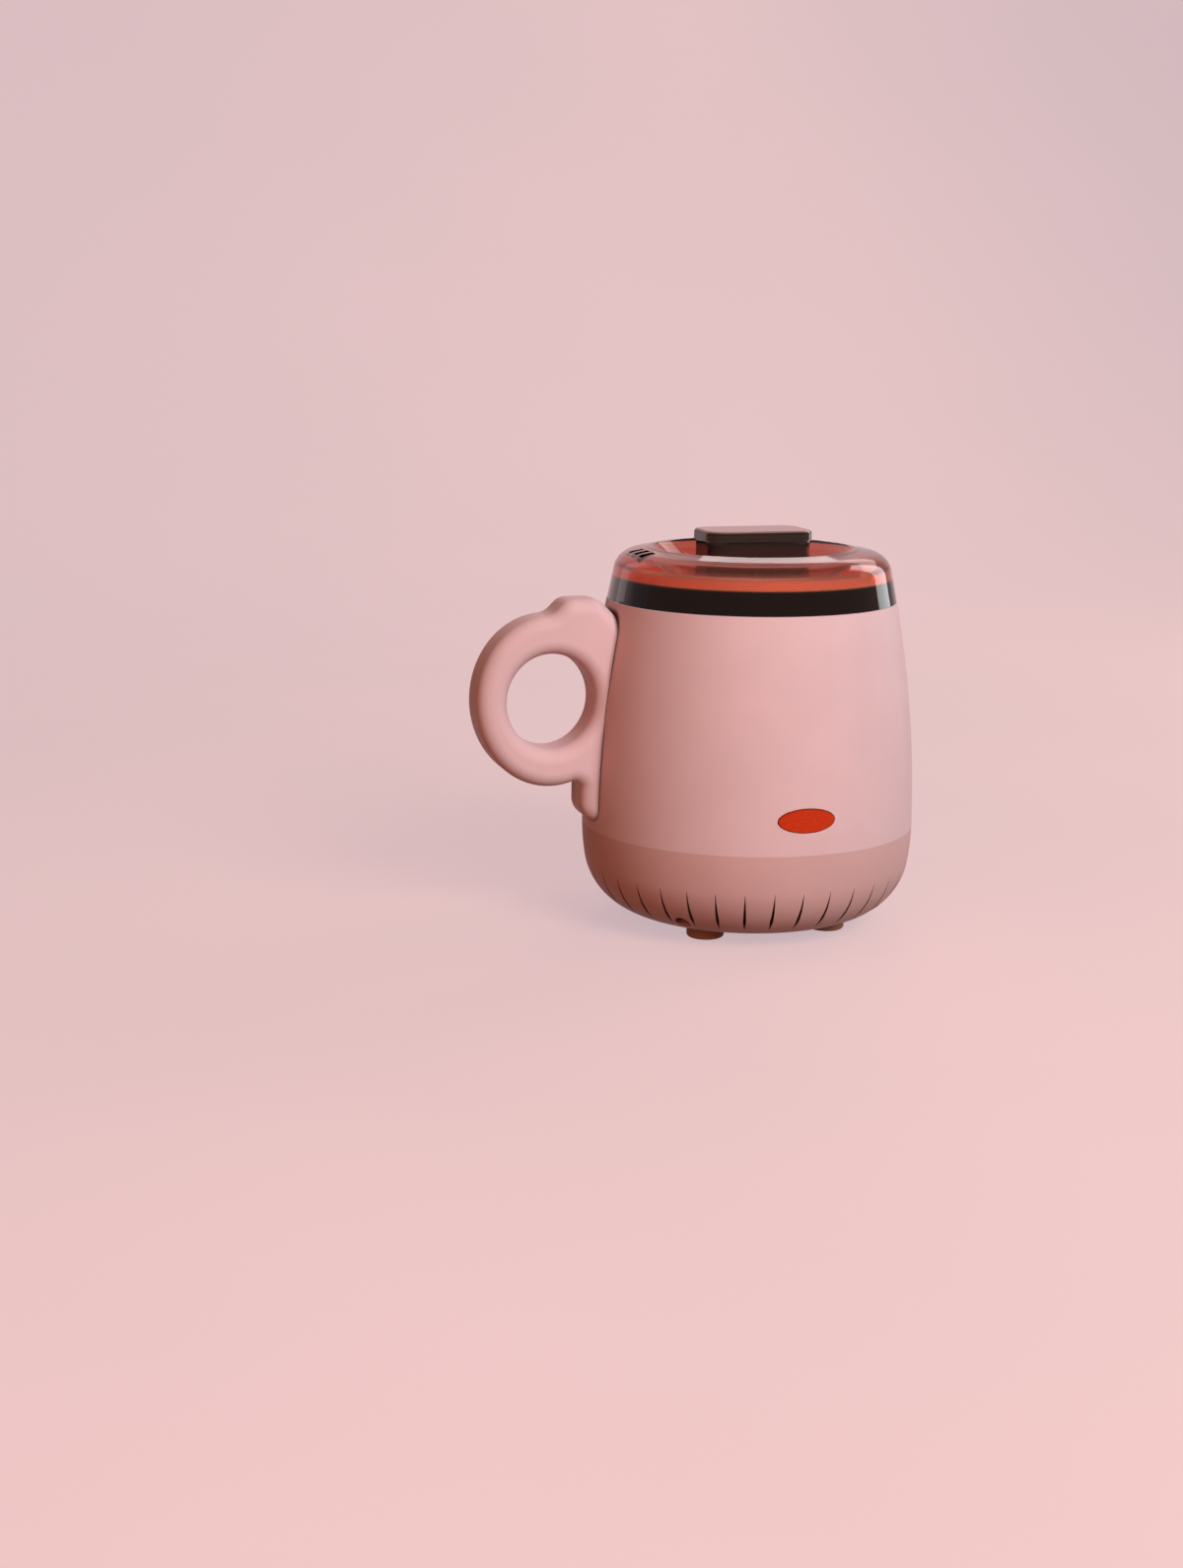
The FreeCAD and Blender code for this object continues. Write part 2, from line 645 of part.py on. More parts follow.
def upper_shell():
    body = new_body("upper_shell_wall")
    deck_foot = "(rim_height - deck_thick)"
    wall = sketch(body, "XZ_Plane")
    outline(wall, [
        ("body_radius", "seam_height"),
        ("rim_radius", "rim_height", BARREL_ARC),
        ("deck_opening", "rim_height"),
        ("deck_opening", deck_foot),
        (barrel(deck_foot, "shell_wall"), deck_foot),
        ("body_radius - shell_wall", "seam_height", f"(-1 * ({BARREL_ARC} - shell_wall))"),
    ])
    turn(body, wall)

    # Bosses that the base screws bite into, each with a rib to the wall
    posts = sketch(body, "XY_Plane", "channel_top")
    on_diagonal = f"base_screw_ring * {DIAGONAL}"
    circle(posts, on_diagonal, on_diagonal, "boss_radius")
    post_pads = pad(body, posts, "boss_top - channel_top")
    ribs = sketch(body, "XY_Plane", "seam_height + lip_height + lip_thick")
    outer = f"(body_radius - shell_wall / 2) * {DIAGONAL}"
    half = f"rib_thick / 2 * {DIAGONAL}"
    outline(ribs, [
        (f"{on_diagonal} + {half}", f"{on_diagonal} - {half}"),
        (f"{outer} + {half}", f"{outer} - {half}"),
        (f"{outer} - {half}", f"{outer} + {half}"),
        (f"{on_diagonal} - {half}", f"{on_diagonal} + {half}"),
    ])
    rib_pads = pad(body, ribs, "boss_top - seam_height - lip_height - lip_thick")
    around(body, [post_pads, rib_pads], "4")
    bites = sketch(body, "XY_Plane", "channel_top")
    circle(bites, on_diagonal, on_diagonal, "screw_radius + screw_gap")
    bite_holes = pad(body, bites, "base_screw_reach", "Pocket", back=True)
    around(body, [bite_holes], "4")

    # Bosses for the strap under the heater, each with a rib to the wall
    hangers = sketch(body, "XY_Plane", SPACER_FOOT)
    circle(hangers, "strap_screw_reach", "0", "boss_radius")
    hanger_pads = pad(body, hangers, "strap_boss_high")
    webs = sketch(body, "XY_Plane", SPACER_FOOT)
    rectangle(webs, "strap_screw_reach", "body_radius - shell_wall / 2", "-rib_thick / 2", "rib_thick / 2")
    web_pads = pad(body, webs, "strap_boss_high")
    around(body, [hanger_pads, web_pads], "2")
    hanger_bites = sketch(body, "XY_Plane", SPACER_FOOT)
    circle(hanger_bites, "strap_screw_reach", "0", "screw_radius + screw_gap")
    hanger_holes = pad(body, hanger_bites, "strap_bolt_reach", "Pocket", back=True)
    around(body, [hanger_holes], "2")

    # Bosses for the switch board
    board_posts = sketch(body, "XZ_Plane", "board_front")
    board_bites = []
    for side in ("-1 * ", ""):
        aside = f"{side}board_screw_aside"
        circle(board_posts, aside, "button_height", "board_boss_radius")
        board_bites.append(cylinder("pin_radius + screw_gap", "board_screw_reach",
                                    (aside, "-board_front", "button_height"), "-Y"))
    wall_middle = "sqrt((body_radius - shell_wall / 2) ^ 2 - board_screw_aside ^ 2)"
    pad(body, board_posts, f"{wall_middle} - board_front")

    # Flat pads inside the wall for the screws that hold the handle
    holes = list(board_bites)
    for height in ("mount_screw_low", "mount_screw_high"):
        face = f"({barrel(height, 'shell_wall')} - mount_pad_depth)"
        seats = sketch(body, "YZ_Plane", f"-1 * {face}")
        for side in ("-1 * ", ""):
            aside = f"{side}mount_screw_aside"
            circle(seats, aside, height, "boss_radius")
            holes.append(cylinder("screw_radius + fit_gap", "shell_wall + mount_pad_depth + overrun",
                                  (f"-1 * {face}", aside, height), "-X"))
        pad(body, seats, "mount_pad_depth + shell_wall / 2", back=True)

    holes.append(oval("button_half_wide", "button_half_tall", "body_radius + overrun", "button_back"))
    node(cut(body, holes), "upper_shell")


def base_shell():
    body = new_body("base_shell")
    lip_inner = f"({LIP_RADIUS} - lip_thick)"
    lip_foot = "(seam_height - lip_depth)"
    wall_at_lip = f"({FLANK_CENTRE} + sqrt((flank_radius - shell_wall) ^ 2 - lip_depth ^ 2))"
    bowl = sketch(body, "XZ_Plane")
    outline(bowl, [
        ("0", "floor_height"),
        (CORNER_CENTRE, "floor_height"),
        flank_foot() + ("corner_radius",),
        ("body_radius", "seam_height", "flank_radius"),
        (LIP_RADIUS, "seam_height"),
        (LIP_RADIUS, "seam_height + lip_height"),
        (lip_inner, "seam_height + lip_height"),
        (lip_inner, lip_foot),
        (wall_at_lip, lip_foot),
        flank_foot("shell_wall") + ("(shell_wall - flank_radius)",),
        (CORNER_CENTRE, FLOOR_TOP, "(shell_wall - corner_radius)"),
        ("0", FLOOR_TOP),
    ])
    turn(body, bowl)

    # Vent slits, deepest and widest low down, which fade out at both ends
    slit_foot = ("slit_foot_radius", "slit_foot_height")
    slit_deep = ("slit_deep_radius", "slit_deep_height")
    slit_top = ("slit_top_radius", "slit_top_height")
    slits = [groove(body, low, high, "slit_width", "slit_depth")
             for low, high in ((slit_foot, slit_deep), (slit_deep, slit_top))]
    around(body, slits, "slit_count")

    # Screw channels, trimmed to the outer face
    on_diagonal = f"base_screw_ring * {DIAGONAL}"
    tubes = sketch(body, "XY_Plane", "floor_height")
    circle(tubes, on_diagonal, on_diagonal, "channel_radius + channel_wall")
    tube_pads = pad(body, tubes, "channel_top - floor_height")
    around(body, [tube_pads], "4")
    outside = sketch(body, "XZ_Plane")
    outline(outside, [
        (CORNER_CENTRE, "floor_height"),
        flank_foot() + ("corner_radius",),
        ("body_radius", "seam_height", "flank_radius"),
        ("body_radius + overrun", "seam_height"),
        ("body_radius + overrun", "floor_height - overrun"),
        (CORNER_CENTRE, "floor_height - overrun"),
    ])
    turn(body, outside, "Groove")
    wells = sketch(body, "XY_Plane", "0")
    circle(wells, on_diagonal, on_diagonal, "channel_radius")
    well_cuts = pad(body, wells, "base_screw_seat", "Pocket", back=True)
    shafts = sketch(body, "XY_Plane", "0")
    circle(shafts, on_diagonal, on_diagonal, "screw_radius + fit_gap")
    shaft_cuts = pad(body, shafts, "channel_top + fit_gap", "Pocket", back=True)
    around(body, [well_cuts, shaft_cuts], "4")

    # Sockets for the feet
    foot_place = f"foot_ring * {DIAGONAL}"
    sockets = sketch(body, "XY_Plane", "floor_height - overrun")
    circle(sockets, foot_place, foot_place, "foot_radius + fit_gap")
    socket_cuts = pad(body, sockets, "overrun + socket_depth", "Pocket", back=True)
    stems = sketch(body, "XY_Plane", "floor_height")
    circle(stems, foot_place, foot_place, "stem_radius + fit_gap")
    stem_cuts = pad(body, stems, "shell_wall + overrun", "Pocket", back=True)
    around(body, [socket_cuts, stem_cuts], "4")

    # Boss for the terminal block
    boss = sketch(body, "XY_Plane", "floor_height + shell_wall / 2")
    circle(boss, "0", "block_back", "block_boss_radius")
    pad(body, boss, "shell_wall / 2 + block_boss_high")
    boss_bite = sketch(body, "XY_Plane", BLOCK_FOOT)
    circle(boss_bite, "0", "block_back", "screw_radius + screw_gap")
    pad(body, boss_bite, "block_screw_bite + fit_gap", "Pocket")

    # Flat seat and hole for the cord gland at the back
    seat = sketch(body, "XZ_Plane", f"-1 * {GLAND_SEAT}")
    circle(seat, "0", "gland_height", "gland_flange_radius + fit_gap")
    pad(body, seat, "overrun", "Pocket")
    hole = sketch(body, "XZ_Plane", f"-1 * ({GLAND_SEAT} - overrun)")
    circle(hole, "0", "gland_height", "gland_neck_radius + fit_gap")
    pad(body, hole, "2 * overrun", "Pocket")
    node(body, "base_shell")


def feet():
    stem_top = "(floor_height + shell_wall + fit_gap)"
    for label, along, across in (
        ("foot_front_left", "-1 *", "-1 *"),
        ("foot_front_right", "1 *", "-1 *"),
        ("foot_rear_left", "-1 *", "1 *"),
        ("foot_rear_right", "1 *", "1 *"),
    ):
        foot = turned(label, [
            ("0", "0"),
            ("foot_radius - foot_round", "0"),
            ("foot_radius", "foot_round", "foot_round"),
            ("foot_radius", FOOT_TOP),
            ("stem_radius", FOOT_TOP),
            ("stem_radius", stem_top),
            ("stem_head_radius", stem_top),
            ("stem_radius", f"{stem_top} + stem_head_high"),
            ("0", f"{stem_top} + stem_head_high"),
        ])
        put(foot, (f"{along} foot_ring * {DIAGONAL}", f"{across} foot_ring * {DIAGONAL}", "0"))
        node(foot, label)


def base_screws():
    screws = []
    for along in ("-1 *", "1 *"):
        for across in ("-1 *", "1 *"):
            place = (f"{along} base_screw_ring * {DIAGONAL}", f"{across} base_screw_ring * {DIAGONAL}",
                     "base_screw_seat")
            screws.append(screw("screw", "base_screw_reach", place, "+Z"))
    node(grouped(screws), "base_screws")


# Handle

def handle_point(reach, height, aside=0.0):
    """A point of the handle: how far it stands from the barrel's axis, its height, and its y."""
    return Vector(-reach, aside, height)


def handle_prism(edge, depth):
    """Push a flat closed edge or wire evenly to both sides of the handle's middle plane."""
    face = Part.Face(Part.Wire([edge]) if isinstance(edge, Part.Edge) else edge)
    face.translate(Vector(0, -depth, 0))
    return face.extrude(Vector(0, 2 * depth, 0))


def ring_outline(inset):
    middle = handle_point(size("ring_reach"), size("ring_height"))
    top = middle + Vector(0, 0, size("ring_tall") - inset)
    side = middle + Vector(size("ring_wide") - inset, 0, 0)
    return Part.Ellipse(top, side, middle).toShape()


def finger_oval(outset):
    middle = handle_point(size("ring_reach"), size("ring_height"))
    top = middle + Vector(0, 0, size("finger_tall") + outset)
    side = middle + Vector(size("finger_wide") + outset, 0, 0)
    return Part.Ellipse(top, side, middle).toShape()


def barrel_blank(outset):
    """The barrel as a full body, taken outset beyond its outer face."""
    bottom = size("seam_height - overrun")
    top = size("rim_height + overrun")
    low = Vector(size("body_radius") + outset, 0, size("seam_height"))
    bend = size(BARREL_ARC) + outset
    middle_turn = math.asin((top - low.z) / bend) / 2
    centre = Vector(low.x - bend, 0, low.z)
    middle = centre + Vector(bend * math.cos(middle_turn), 0, bend * math.sin(middle_turn))
    high = centre + Vector(bend * math.cos(2 * middle_turn), 0, bend * math.sin(2 * middle_turn))
    axis_low = Vector(0, 0, bottom)
    axis_high = Vector(0, 0, top)
    foot = Vector(low.x, 0, bottom)
    edges = [
        Part.LineSegment(axis_low, foot).toShape(),
        Part.LineSegment(foot, low).toShape(),
        Part.Arc(low, middle, high).toShape(),
        Part.LineSegment(high, axis_high).toShape(),
        Part.LineSegment(axis_high, axis_low).toShape(),
    ]
    return Part.Face(Part.Wire(edges)).revolve(Vector(), Vector(0, 0, 1), 360)


def handle_screw_points():
    """Where the screws that join the halves stand, on the middle line of the ring."""
    middle_wide = size("ring_wide + finger_wide") / 2
    middle_tall = size("ring_tall + finger_tall") / 2
    for turn_by in (-1, 0, 1):
        angle = math.radians(turn_by * size("handle_screw_turn"))
        yield (size("ring_reach") + middle_wide * math.cos(angle),
               size("ring_height") + middle_tall * math.sin(angle))


def upright_edges(solid):
    """The straight edges that run from the front of the handle to its back."""
    for edge in solid.Edges:
        first, last = edge.Vertexes[0].Point, edge.Vertexes[-1].Point
        aside = abs(last.x - first.x) + abs(last.z - first.z)
        if abs(last.y - first.y) > size("handle_half") and aside < SAME_PLACE:
            yield edge


def handle_blank():
    """Ring, thumb rest, spine and tail in one, with all outer edges rounded."""
    depth = size("handle_half")
    inside = size("rim_radius - overrun")
    thumb_top = size("thumb_height")
    thumb_foot = thumb_top - (size("thumb_start") - inside)
    slope_end = size("thumb_end + thumb_rise + overrun")
    corners = {
        "tail": handle_point(size("tail_reach"), size("tail_foot")),
        "thumb_outer": handle_point(size("thumb_end"), thumb_top),
        "thumb_inner": handle_point(size("thumb_start"), thumb_top),
    }
    spine = Part.makePolygon([
        handle_point(inside, size("tail_foot")),
        corners["tail"],
        handle_point(size("tail_reach"), size("ring_height")),
        handle_point(slope_end, thumb_top - (slope_end - size("thumb_end"))),
        corners["thumb_outer"],
        corners["thumb_inner"],
        handle_point(inside, thumb_foot),
        handle_point(inside, size("tail_foot")),
    ])
    solid = handle_prism(ring_outline(0), depth).fuse(handle_prism(spine, depth)).removeSplitter()

    def corner_edges(point):
        return [edge for edge in upright_edges(solid)
                if (edge.Vertexes[0].Point - point).cross(Vector(0, 1, 0)).Length < SAME_PLACE]

    tail_round = min(size("tail_round"), TAIL_ROUND_SHARE * size("tail_room"))
    tail_blend = min(size("tail_blend"), TAIL_BLEND_SHARE * size("tail_room"))
    solid = solid.makeFillet(tail_round, corner_edges(corners["tail"]))
    for name in ("thumb_outer", "thumb_inner"):
        solid = solid.makeFillet(size("thumb_round"), corner_edges(corners[name]))
    for blend, above in ((size("thumb_blend"), True), (tail_blend, False)):
        inner = [edge for edge in upright_edges(solid)
                 if (edge.Vertexes[0].Point.z > size("thumb_height + ring_height") / 2) == above
                 and -edge.Vertexes[0].Point.x > inside + size("fit_gap")
                 and not smooth_edge(solid, edge)]
        solid = solid.makeFillet(blend, inner)
    solid = solid.cut(handle_prism(finger_oval(0), depth + size("overrun")))
    rims = [edge for edge in solid.Edges
            if edge.BoundBox.YLength < SAME_PLACE and abs(abs(edge.BoundBox.YMin) - depth) < SAME_PLACE
            and edge.BoundBox.XMin < -inside - SAME_PLACE]
    ring_limit = RIM_ROUND_SHARE * min(size("ring_wide - finger_wide"), size("ring_tall - finger_tall"))
    return solid.makeFillet(min(size("handle_round"), ring_limit), rims)


def smooth_edge(solid, edge):
    """Whether the two faces at an upright edge run on into each other."""
    faces = [face for face in solid.Faces if any(edge.isSame(other) for other in face.Edges)]
    point = edge.Vertexes[0].Point
    normals = [face.normalAt(*face.Surface.parameter(point)) for face in faces]
    return len(normals) == 2 and normals[0].cross(normals[1]).Length < SMOOTH_TURN


def handle_half(front):
    """One half of the hollow handle, front or rear, with its posts and screw holes."""
    depth = size("handle_half")
    wall = size("handle_wall")
    far = size("ring_reach + ring_wide + overrun")
    solid = handle_blank().cut(barrel_blank(size("handle_gap")))
    void = handle_prism(ring_outline(wall), depth - wall).cut(
        handle_prism(finger_oval(wall), depth))
    near_body = Part.makeBox(size("ring_reach"), 2 * depth, size("thumb_height"),
                             Vector(-size("ring_reach"), -depth, 0))
    void = void.cut(near_body)
    holes = []
    for reach, height in handle_screw_points():
        foot = handle_point(reach, height, -depth)
        void = void.cut(Part.makeCylinder(size("handle_post_radius"), 2 * depth, foot, Vector(0, 1, 0)))
        seat = handle_point(reach, height, size("handle_screw_seat"))
        holes.append(Part.makeCylinder(size("screw_head_radius + fit_gap"), depth, seat, Vector(0, 1, 0)))
        holes.append(Part.makeCylinder(size("screw_radius + screw_gap"), size("handle_screw_reach + fit_gap"),
                                       seat, Vector(0, -1, 0)))
    for height in ("mount_screw_low", "mount_screw_high"):
        for aside in (-size("mount_screw_aside"), size("mount_screw_aside")):
            reach = size(f"{barrel(height, 'shell_wall')} - mount_pad_depth")
            seat = handle_point(reach, size(height), aside)
            holes.append(Part.makeCylinder(size("screw_radius + screw_gap"),
                                           size("mount_screw_reach + fit_gap"), seat, Vector(-1, 0, 0)))
    for hole in [void] + holes:
        solid = solid.cut(hole)
    side = Part.makeBox(far, depth, 2 * size("thumb_height"), Vector(-far, -depth if front else 0, 0))
    return solid.common(side)


def handle():
    node(shaped("front_half", lambda: handle_half(True)), "handle_front")
    node(shaped("rear_half", lambda: handle_half(False)), "handle_rear")
    clamps = []
    middle_wide = "(ring_wide + finger_wide) / 2"
    middle_tall = "(ring_tall + finger_tall) / 2"
    for turn_by in ("-1", "0", "1"):
        angle = f"{turn_by} * handle_screw_turn"
        place = (f"-1 * (ring_reach + {middle_wide} * cos({angle}))", "handle_screw_seat",
                 f"ring_height + {middle_tall} * sin({angle})")
        clamps.append(screw("screw", "handle_screw_reach", place, "-Y"))
    node(grouped(clamps), "handle_screws")
    mounts = []
    for height in ("mount_screw_low", "mount_screw_high"):
        for side in ("-1 * ", ""):
            place = (f"-1 * ({barrel(height, 'shell_wall')} - mount_pad_depth)",
                     f"{side}mount_screw_aside", height)
            mounts.append(screw("screw", "mount_screw_reach", place, "-X"))
    node(grouped(mounts), "handle_mount_screws")


# Heating well

def top_collar():
    body = turned("top_collar", [
        ("collar_bore", "rim_height - collar_spigot"),
        ("deck_opening - fit_gap", "rim_height - collar_spigot"),
        ("deck_opening - fit_gap", "rim_height"),
        ("collar_foot_radius", "rim_height"),
        ("collar_foot_radius", "rim_height + collar_foot_high"),
        ("collar_radius", "rim_height + collar_foot_high"),
        ("collar_radius", "collar_top"),
        ("rebate_radius", "collar_top"),
        ("rebate_radius", SHELF),
        ("collar_bore", SHELF),
    ])
    node(body, "top_collar")


def heating_cup():
    outer = "(cup_bore + cup_wall)"
    flange_foot = "(collar_top - cup_flange_thick)"
    flange_radius = "(rebate_radius - fit_gap)"
    body = turned("heating_cup", [
        ("0", "cup_floor"),
        (outer, "cup_floor"),
        (outer, flange_foot),
        (flange_radius, flange_foot),
        (flange_radius, "collar_top"),
        ("cup_bore", "collar_top"),
        ("cup_bore", "cup_floor + cup_floor_thick"),
        ("0", "cup_floor + cup_floor_thick"),
    ])
    node(body, "heating_cup")
    seal = turned("cup_seal", [
        ("collar_bore", SHELF),
        (flange_radius, SHELF),
        (flange_radius, flange_foot),
        ("collar_bore", flange_foot),
    ])
    node(seal, "cup_seal")


def heater():
    plate = turned("heating_plate_blank", [
        ("stud_radius + screw_gap", PLATE_FOOT),
        ("plate_radius", PLATE_FOOT),
        ("plate_radius", "cup_floor"),
        ("0", "cup_floor"),
        ("0", f"{PLATE_FOOT} + stud_bite + fit_gap"),
        ("stud_radius + screw_gap", f"{PLATE_FOOT} + stud_bite + fit_gap"),
    ])
    element_height = f"({PLATE_FOOT} + element_sink)"
    groove = doc.addObject("Part::Torus", "element_groove")
    tie(groove, "Radius1", "element_ring")
    tie(groove, "Radius2", "element_radius + screw_gap")
    put(groove, ("0", "0", element_height))
    bites = [cylinder("pin_radius + screw_gap", "ear_screw_reach + fit_gap",
                      (f"{side}ear_screw_aside", "thermostat_back", PLATE_FOOT)) for side in ("-1 * ", "")]
    node(cut(plate, [groove] + bites), "heating_plate")

    element = doc.addObject("Part::Torus", "element")
    tie(element, "Radius1", "element_ring")
    tie(element, "Radius2", "element_radius")
    node(put(element, ("0", "0", element_height)), "heater_element")

    stud_length = f"({PLATE_FOOT} + stud_bite - {STRAP_FOOT} + nut_high)"
    node(cylinder("stud_radius", stud_length, ("0", "0", f"{STRAP_FOOT} - nut_high")), "centre_stud")
    bore = "stud_radius + fit_gap"
    spacer = turned("stud_spacer", [
        (bore, SPACER_FOOT),
        ("spacer_foot_radius", SPACER_FOOT),
        ("spacer_foot_radius", "shield_height"),
        ("spacer_radius", "shield_height"),
        ("spacer_radius", PLATE_FOOT),
        (bore, PLATE_FOOT),
    ])
    node(spacer, "stud_spacer")
    nut = new_body("stud_nut")
    hexagon = sketch(nut, "XY_Plane", f"{STRAP_FOOT} - nut_high")
    outline(hexagon, [(f"nut_radius * cos({angle})", f"nut_radius * sin({angle})")
                      for angle in range(0, 360, 60)])
    circle(hexagon, "0", "0", "stud_radius + screw_gap")
    pad(nut, hexagon, "nut_high")
    node(nut, "stud_nut")

    shield = turned("heat_shield_blank", [
        ("spacer_radius + fit_gap", "shield_height"),
        ("shield_radius", "shield_height"),
        ("shield_radius", "shield_height + shield_thick"),
        ("spacer_radius + fit_gap", "shield_height + shield_thick"),
    ])
    window = cylinder("thermostat_radius + 2 * fit_gap", "shield_thick + 2 * overrun",
                      ("0", "thermostat_back", "shield_height - overrun"))
    node(cut(shield, [window]), "heat_shield")

    strap = new_body("cup_bracket")
    strip = sketch(strap, "XY_Plane", STRAP_FOOT)
    rectangle(strip, "-strap_half_length", "strap_half_length", "-strap_width / 2", "strap_width / 2")
    circle(strip, "0", "0", bore)
    for side in ("-1 * ", ""):
        circle(strip, f"{side}strap_screw_reach", "0", "screw_radius + fit_gap")
    pad(strap, strip, "strap_thick")
    node(strap, "cup_bracket")
    bolts = [screw("screw", "strap_bolt_reach + strap_thick - fit_gap",
                   (f"{side}strap_screw_reach", "0", STRAP_FOOT), "+Z") for side in ("-1 * ", "")]
    node(grouped(bolts), "bracket_screws")


def thermostat():
    can = cylinder("thermostat_radius", "thermostat_high",
                   ("0", "thermostat_back", f"{PLATE_FOOT} - thermostat_high"))
    ears = box("ear_length", "ear_width", "ear_thick",
               ("-ear_length / 2", "thermostat_back - ear_width / 2", f"{PLATE_FOOT} - ear_thick"))
    tabs = [box("tab_width", "tab_depth", "tab_high",
                (f"{side}tab_aside - tab_width / 2", "thermostat_back - tab_depth / 2",
                 f"{PLATE_FOOT} - thermostat_high - tab_high")) for side in ("-1 * ", "")]
    holes = [cylinder("pin_radius + fit_gap", "2 * ear_thick",
                      (f"{side}ear_screw_aside", "thermostat_back", f"{PLATE_FOOT} - 1.5 * ear_thick"))
             for side in ("-1 * ", "")]
    node(cut(fused([can, ears] + tabs), holes), "thermostat")
    screws = [screw("pin", "ear_screw_reach + ear_thick",
                    (f"{side}ear_screw_aside", "thermostat_back", f"{PLATE_FOOT} - ear_thick"), "+Z")
              for side in ("-1 * ", "")]
    node(grouped(screws), "thermostat_screws")


def thermal_fuse():
    height = f"({PLATE_FOOT} - clip_high / 2)"
    fuse = cylinder("fuse_radius", "fuse_length", ("-fuse_length / 2", "-fuse_front", height), "+X")
    node(fuse, "thermal_fuse")
    saddle = box("clip_length", "clip_width", "clip_high",
                 ("-clip_length / 2", "-fuse_front - clip_width / 2", f"{PLATE_FOOT} - clip_high"))
    bore = cylinder("fuse_radius + screw_gap", "2 * clip_length",
                    ("-1 * clip_length", "-fuse_front", height), "+X")
    node(cut(saddle, [bore]), "fuse_clip")


# Button and switch

def power_button():
    skin = "button_half_wide - button_gap"
    height = "button_half_tall - button_gap"
    cap = oval(skin, height, "body_radius + overrun", "button_back")
    round_face = cylinder(BUTTON_FACE, "2 * button_half_tall", ("0", "0", "button_height - button_half_tall"))
    face = doc.addObject("Part::Common", "button_face")
    face.Base = cap
    face.Tool = round_face
    flange = oval("button_half_wide + button_flange_out", "button_half_tall + button_flange_out",
                  "button_back", "button_back - button_flange_thick")
    room = oval(f"{skin} - button_side_thick", f"{height} - button_side_thick",
                f"{BUTTON_FACE} - button_face_thick", "button_back - button_flange_thick")
    node(cut(fused([face, flange]), [room]), "power_button")
    tip = f"({BUTTON_FACE} - button_face_thick)"
    node(cylinder("plunger_radius", f"{tip} - plunger_end", ("0", f"-1 * {tip}", "button_height"), "+Y"),
         "switch_plunger")


def switch():
    board_foot = "button_height - board_half_tall"
    board = box("2 * board_half_wide", "board_thick", "2 * board_half_tall",
                ("-board_half_wide", "-board_front", board_foot))
    holes = [cylinder("pin_radius + fit_gap", "2 * board_thick",
                      (f"{side}board_screw_aside", "-board_front - board_thick / 2", "button_height"), "+Y")
             for side in ("-1 * ", "")]
    node(cut(board, holes), "control_board")
    case = box("2 * switch_half", "switch_deep", "2 * switch_half",
               ("-switch_half", "-board_front - switch_deep", "button_height - switch_half"))
    well = cylinder("plunger_radius + plunger_gap", "board_front + switch_deep - plunger_end + plunger_room",
                    ("0", "-board_front - switch_deep", "button_height"), "+Y")
    node(cut(case, [well]), "push_switch")
    bulb = cylinder("lamp_radius", "lamp_length", ("lamp_aside", "-board_front", "button_height"), "-Y")
    tip = doc.addObject("Part::Sphere", "lamp_tip")
    tie(tip, "Radius", "lamp_radius")
    put(tip, ("lamp_aside", "-board_front - lamp_length", "button_height"))
    node(fused([bulb, tip]), "indicator_lamp")
    screws = [screw("pin", "board_thick + board_screw_reach - fit_gap",
                    (f"{side}board_screw_aside", "board_thick - board_front", "button_height"), "-Y")
              for side in ("-1 * ", "")]
    node(grouped(screws), "board_screws")


# Mains side

def terminal_block():
    block = box("block_length", "block_width", "block_high",
                ("-block_length / 2", "block_back - block_width / 2", BLOCK_FOOT))
    holes = [cylinder("screw_radius + fit_gap", "block_high", ("0", "block_back", BLOCK_FOOT))]
    for side in ("-1 * ", ""):
        holes.append(cylinder("wire_hole_radius", "block_width",
                              (f"{side}wire_hole_aside", "block_back - block_width / 2",
                               f"{BLOCK_FOOT} + block_high / 2"), "+Y"))
    node(cut(block, holes), "terminal_block")
    holder = screw("screw", "block_high + block_screw_bite",
                   ("0", "block_back", f"{BLOCK_FOOT} + block_high"), "-Z")
    node(holder, "block_screw")


def cord_gland():
    gland = turned("cord_gland", [
        ("gland_bore", f"-1 * {GLAND_GRIP} - gland_snap_thick - fit_gap"),
        ("gland_neck_radius", f"-1 * {GLAND_GRIP} - gland_snap_thick - fit_gap"),
        ("gland_snap_radius", f"-1 * {GLAND_GRIP} - fit_gap"),
        ("gland_neck_radius", f"-1 * {GLAND_GRIP} - fit_gap"),
        ("gland_neck_radius", "0"),
        ("gland_flange_radius", "0"),
        ("gland_flange_radius", "gland_flange_thick"),
        ("gland_bore", "gland_flange_thick"),
    ])
    node(put(gland, ("0", GLAND_SEAT, "gland_height"), "+Y"), "cord_gland")


# Pot and lid

def wax_pot():
    flange_foot = f"({POT_TOP} - pot_flange_thick)"
    inner_floor = f"({POT_FOOT} + pot_floor_thick)"
    inner_corner = "(pot_corner - pot_wall)"
    pot = turned("wax_pot", [
        ("0", POT_FOOT),
        ("pot_radius - pot_corner", POT_FOOT),
        ("pot_radius", f"{POT_FOOT} + pot_corner", "pot_corner"),
        ("pot_radius", flange_foot),
        ("pot_flange_radius", flange_foot),
        ("pot_flange_radius", POT_TOP),
        (POT_BORE, POT_TOP),
        (POT_BORE, f"{inner_floor} + {inner_corner}"),
        (f"{POT_BORE} - {inner_corner}", inner_floor, f"(-1 * {inner_corner})"),
        ("0", inner_floor),
    ])
    node(pot, "wax_pot")


def at_radius(radius):
    """Accept the round edges of a turned body that have this radius."""
    def accepts(edge):
        curve = edge.Curve
        return curve.TypeId == "Part::GeomCircle" and abs(curve.Radius - size(radius)) < SAME_PLACE
    return accepts


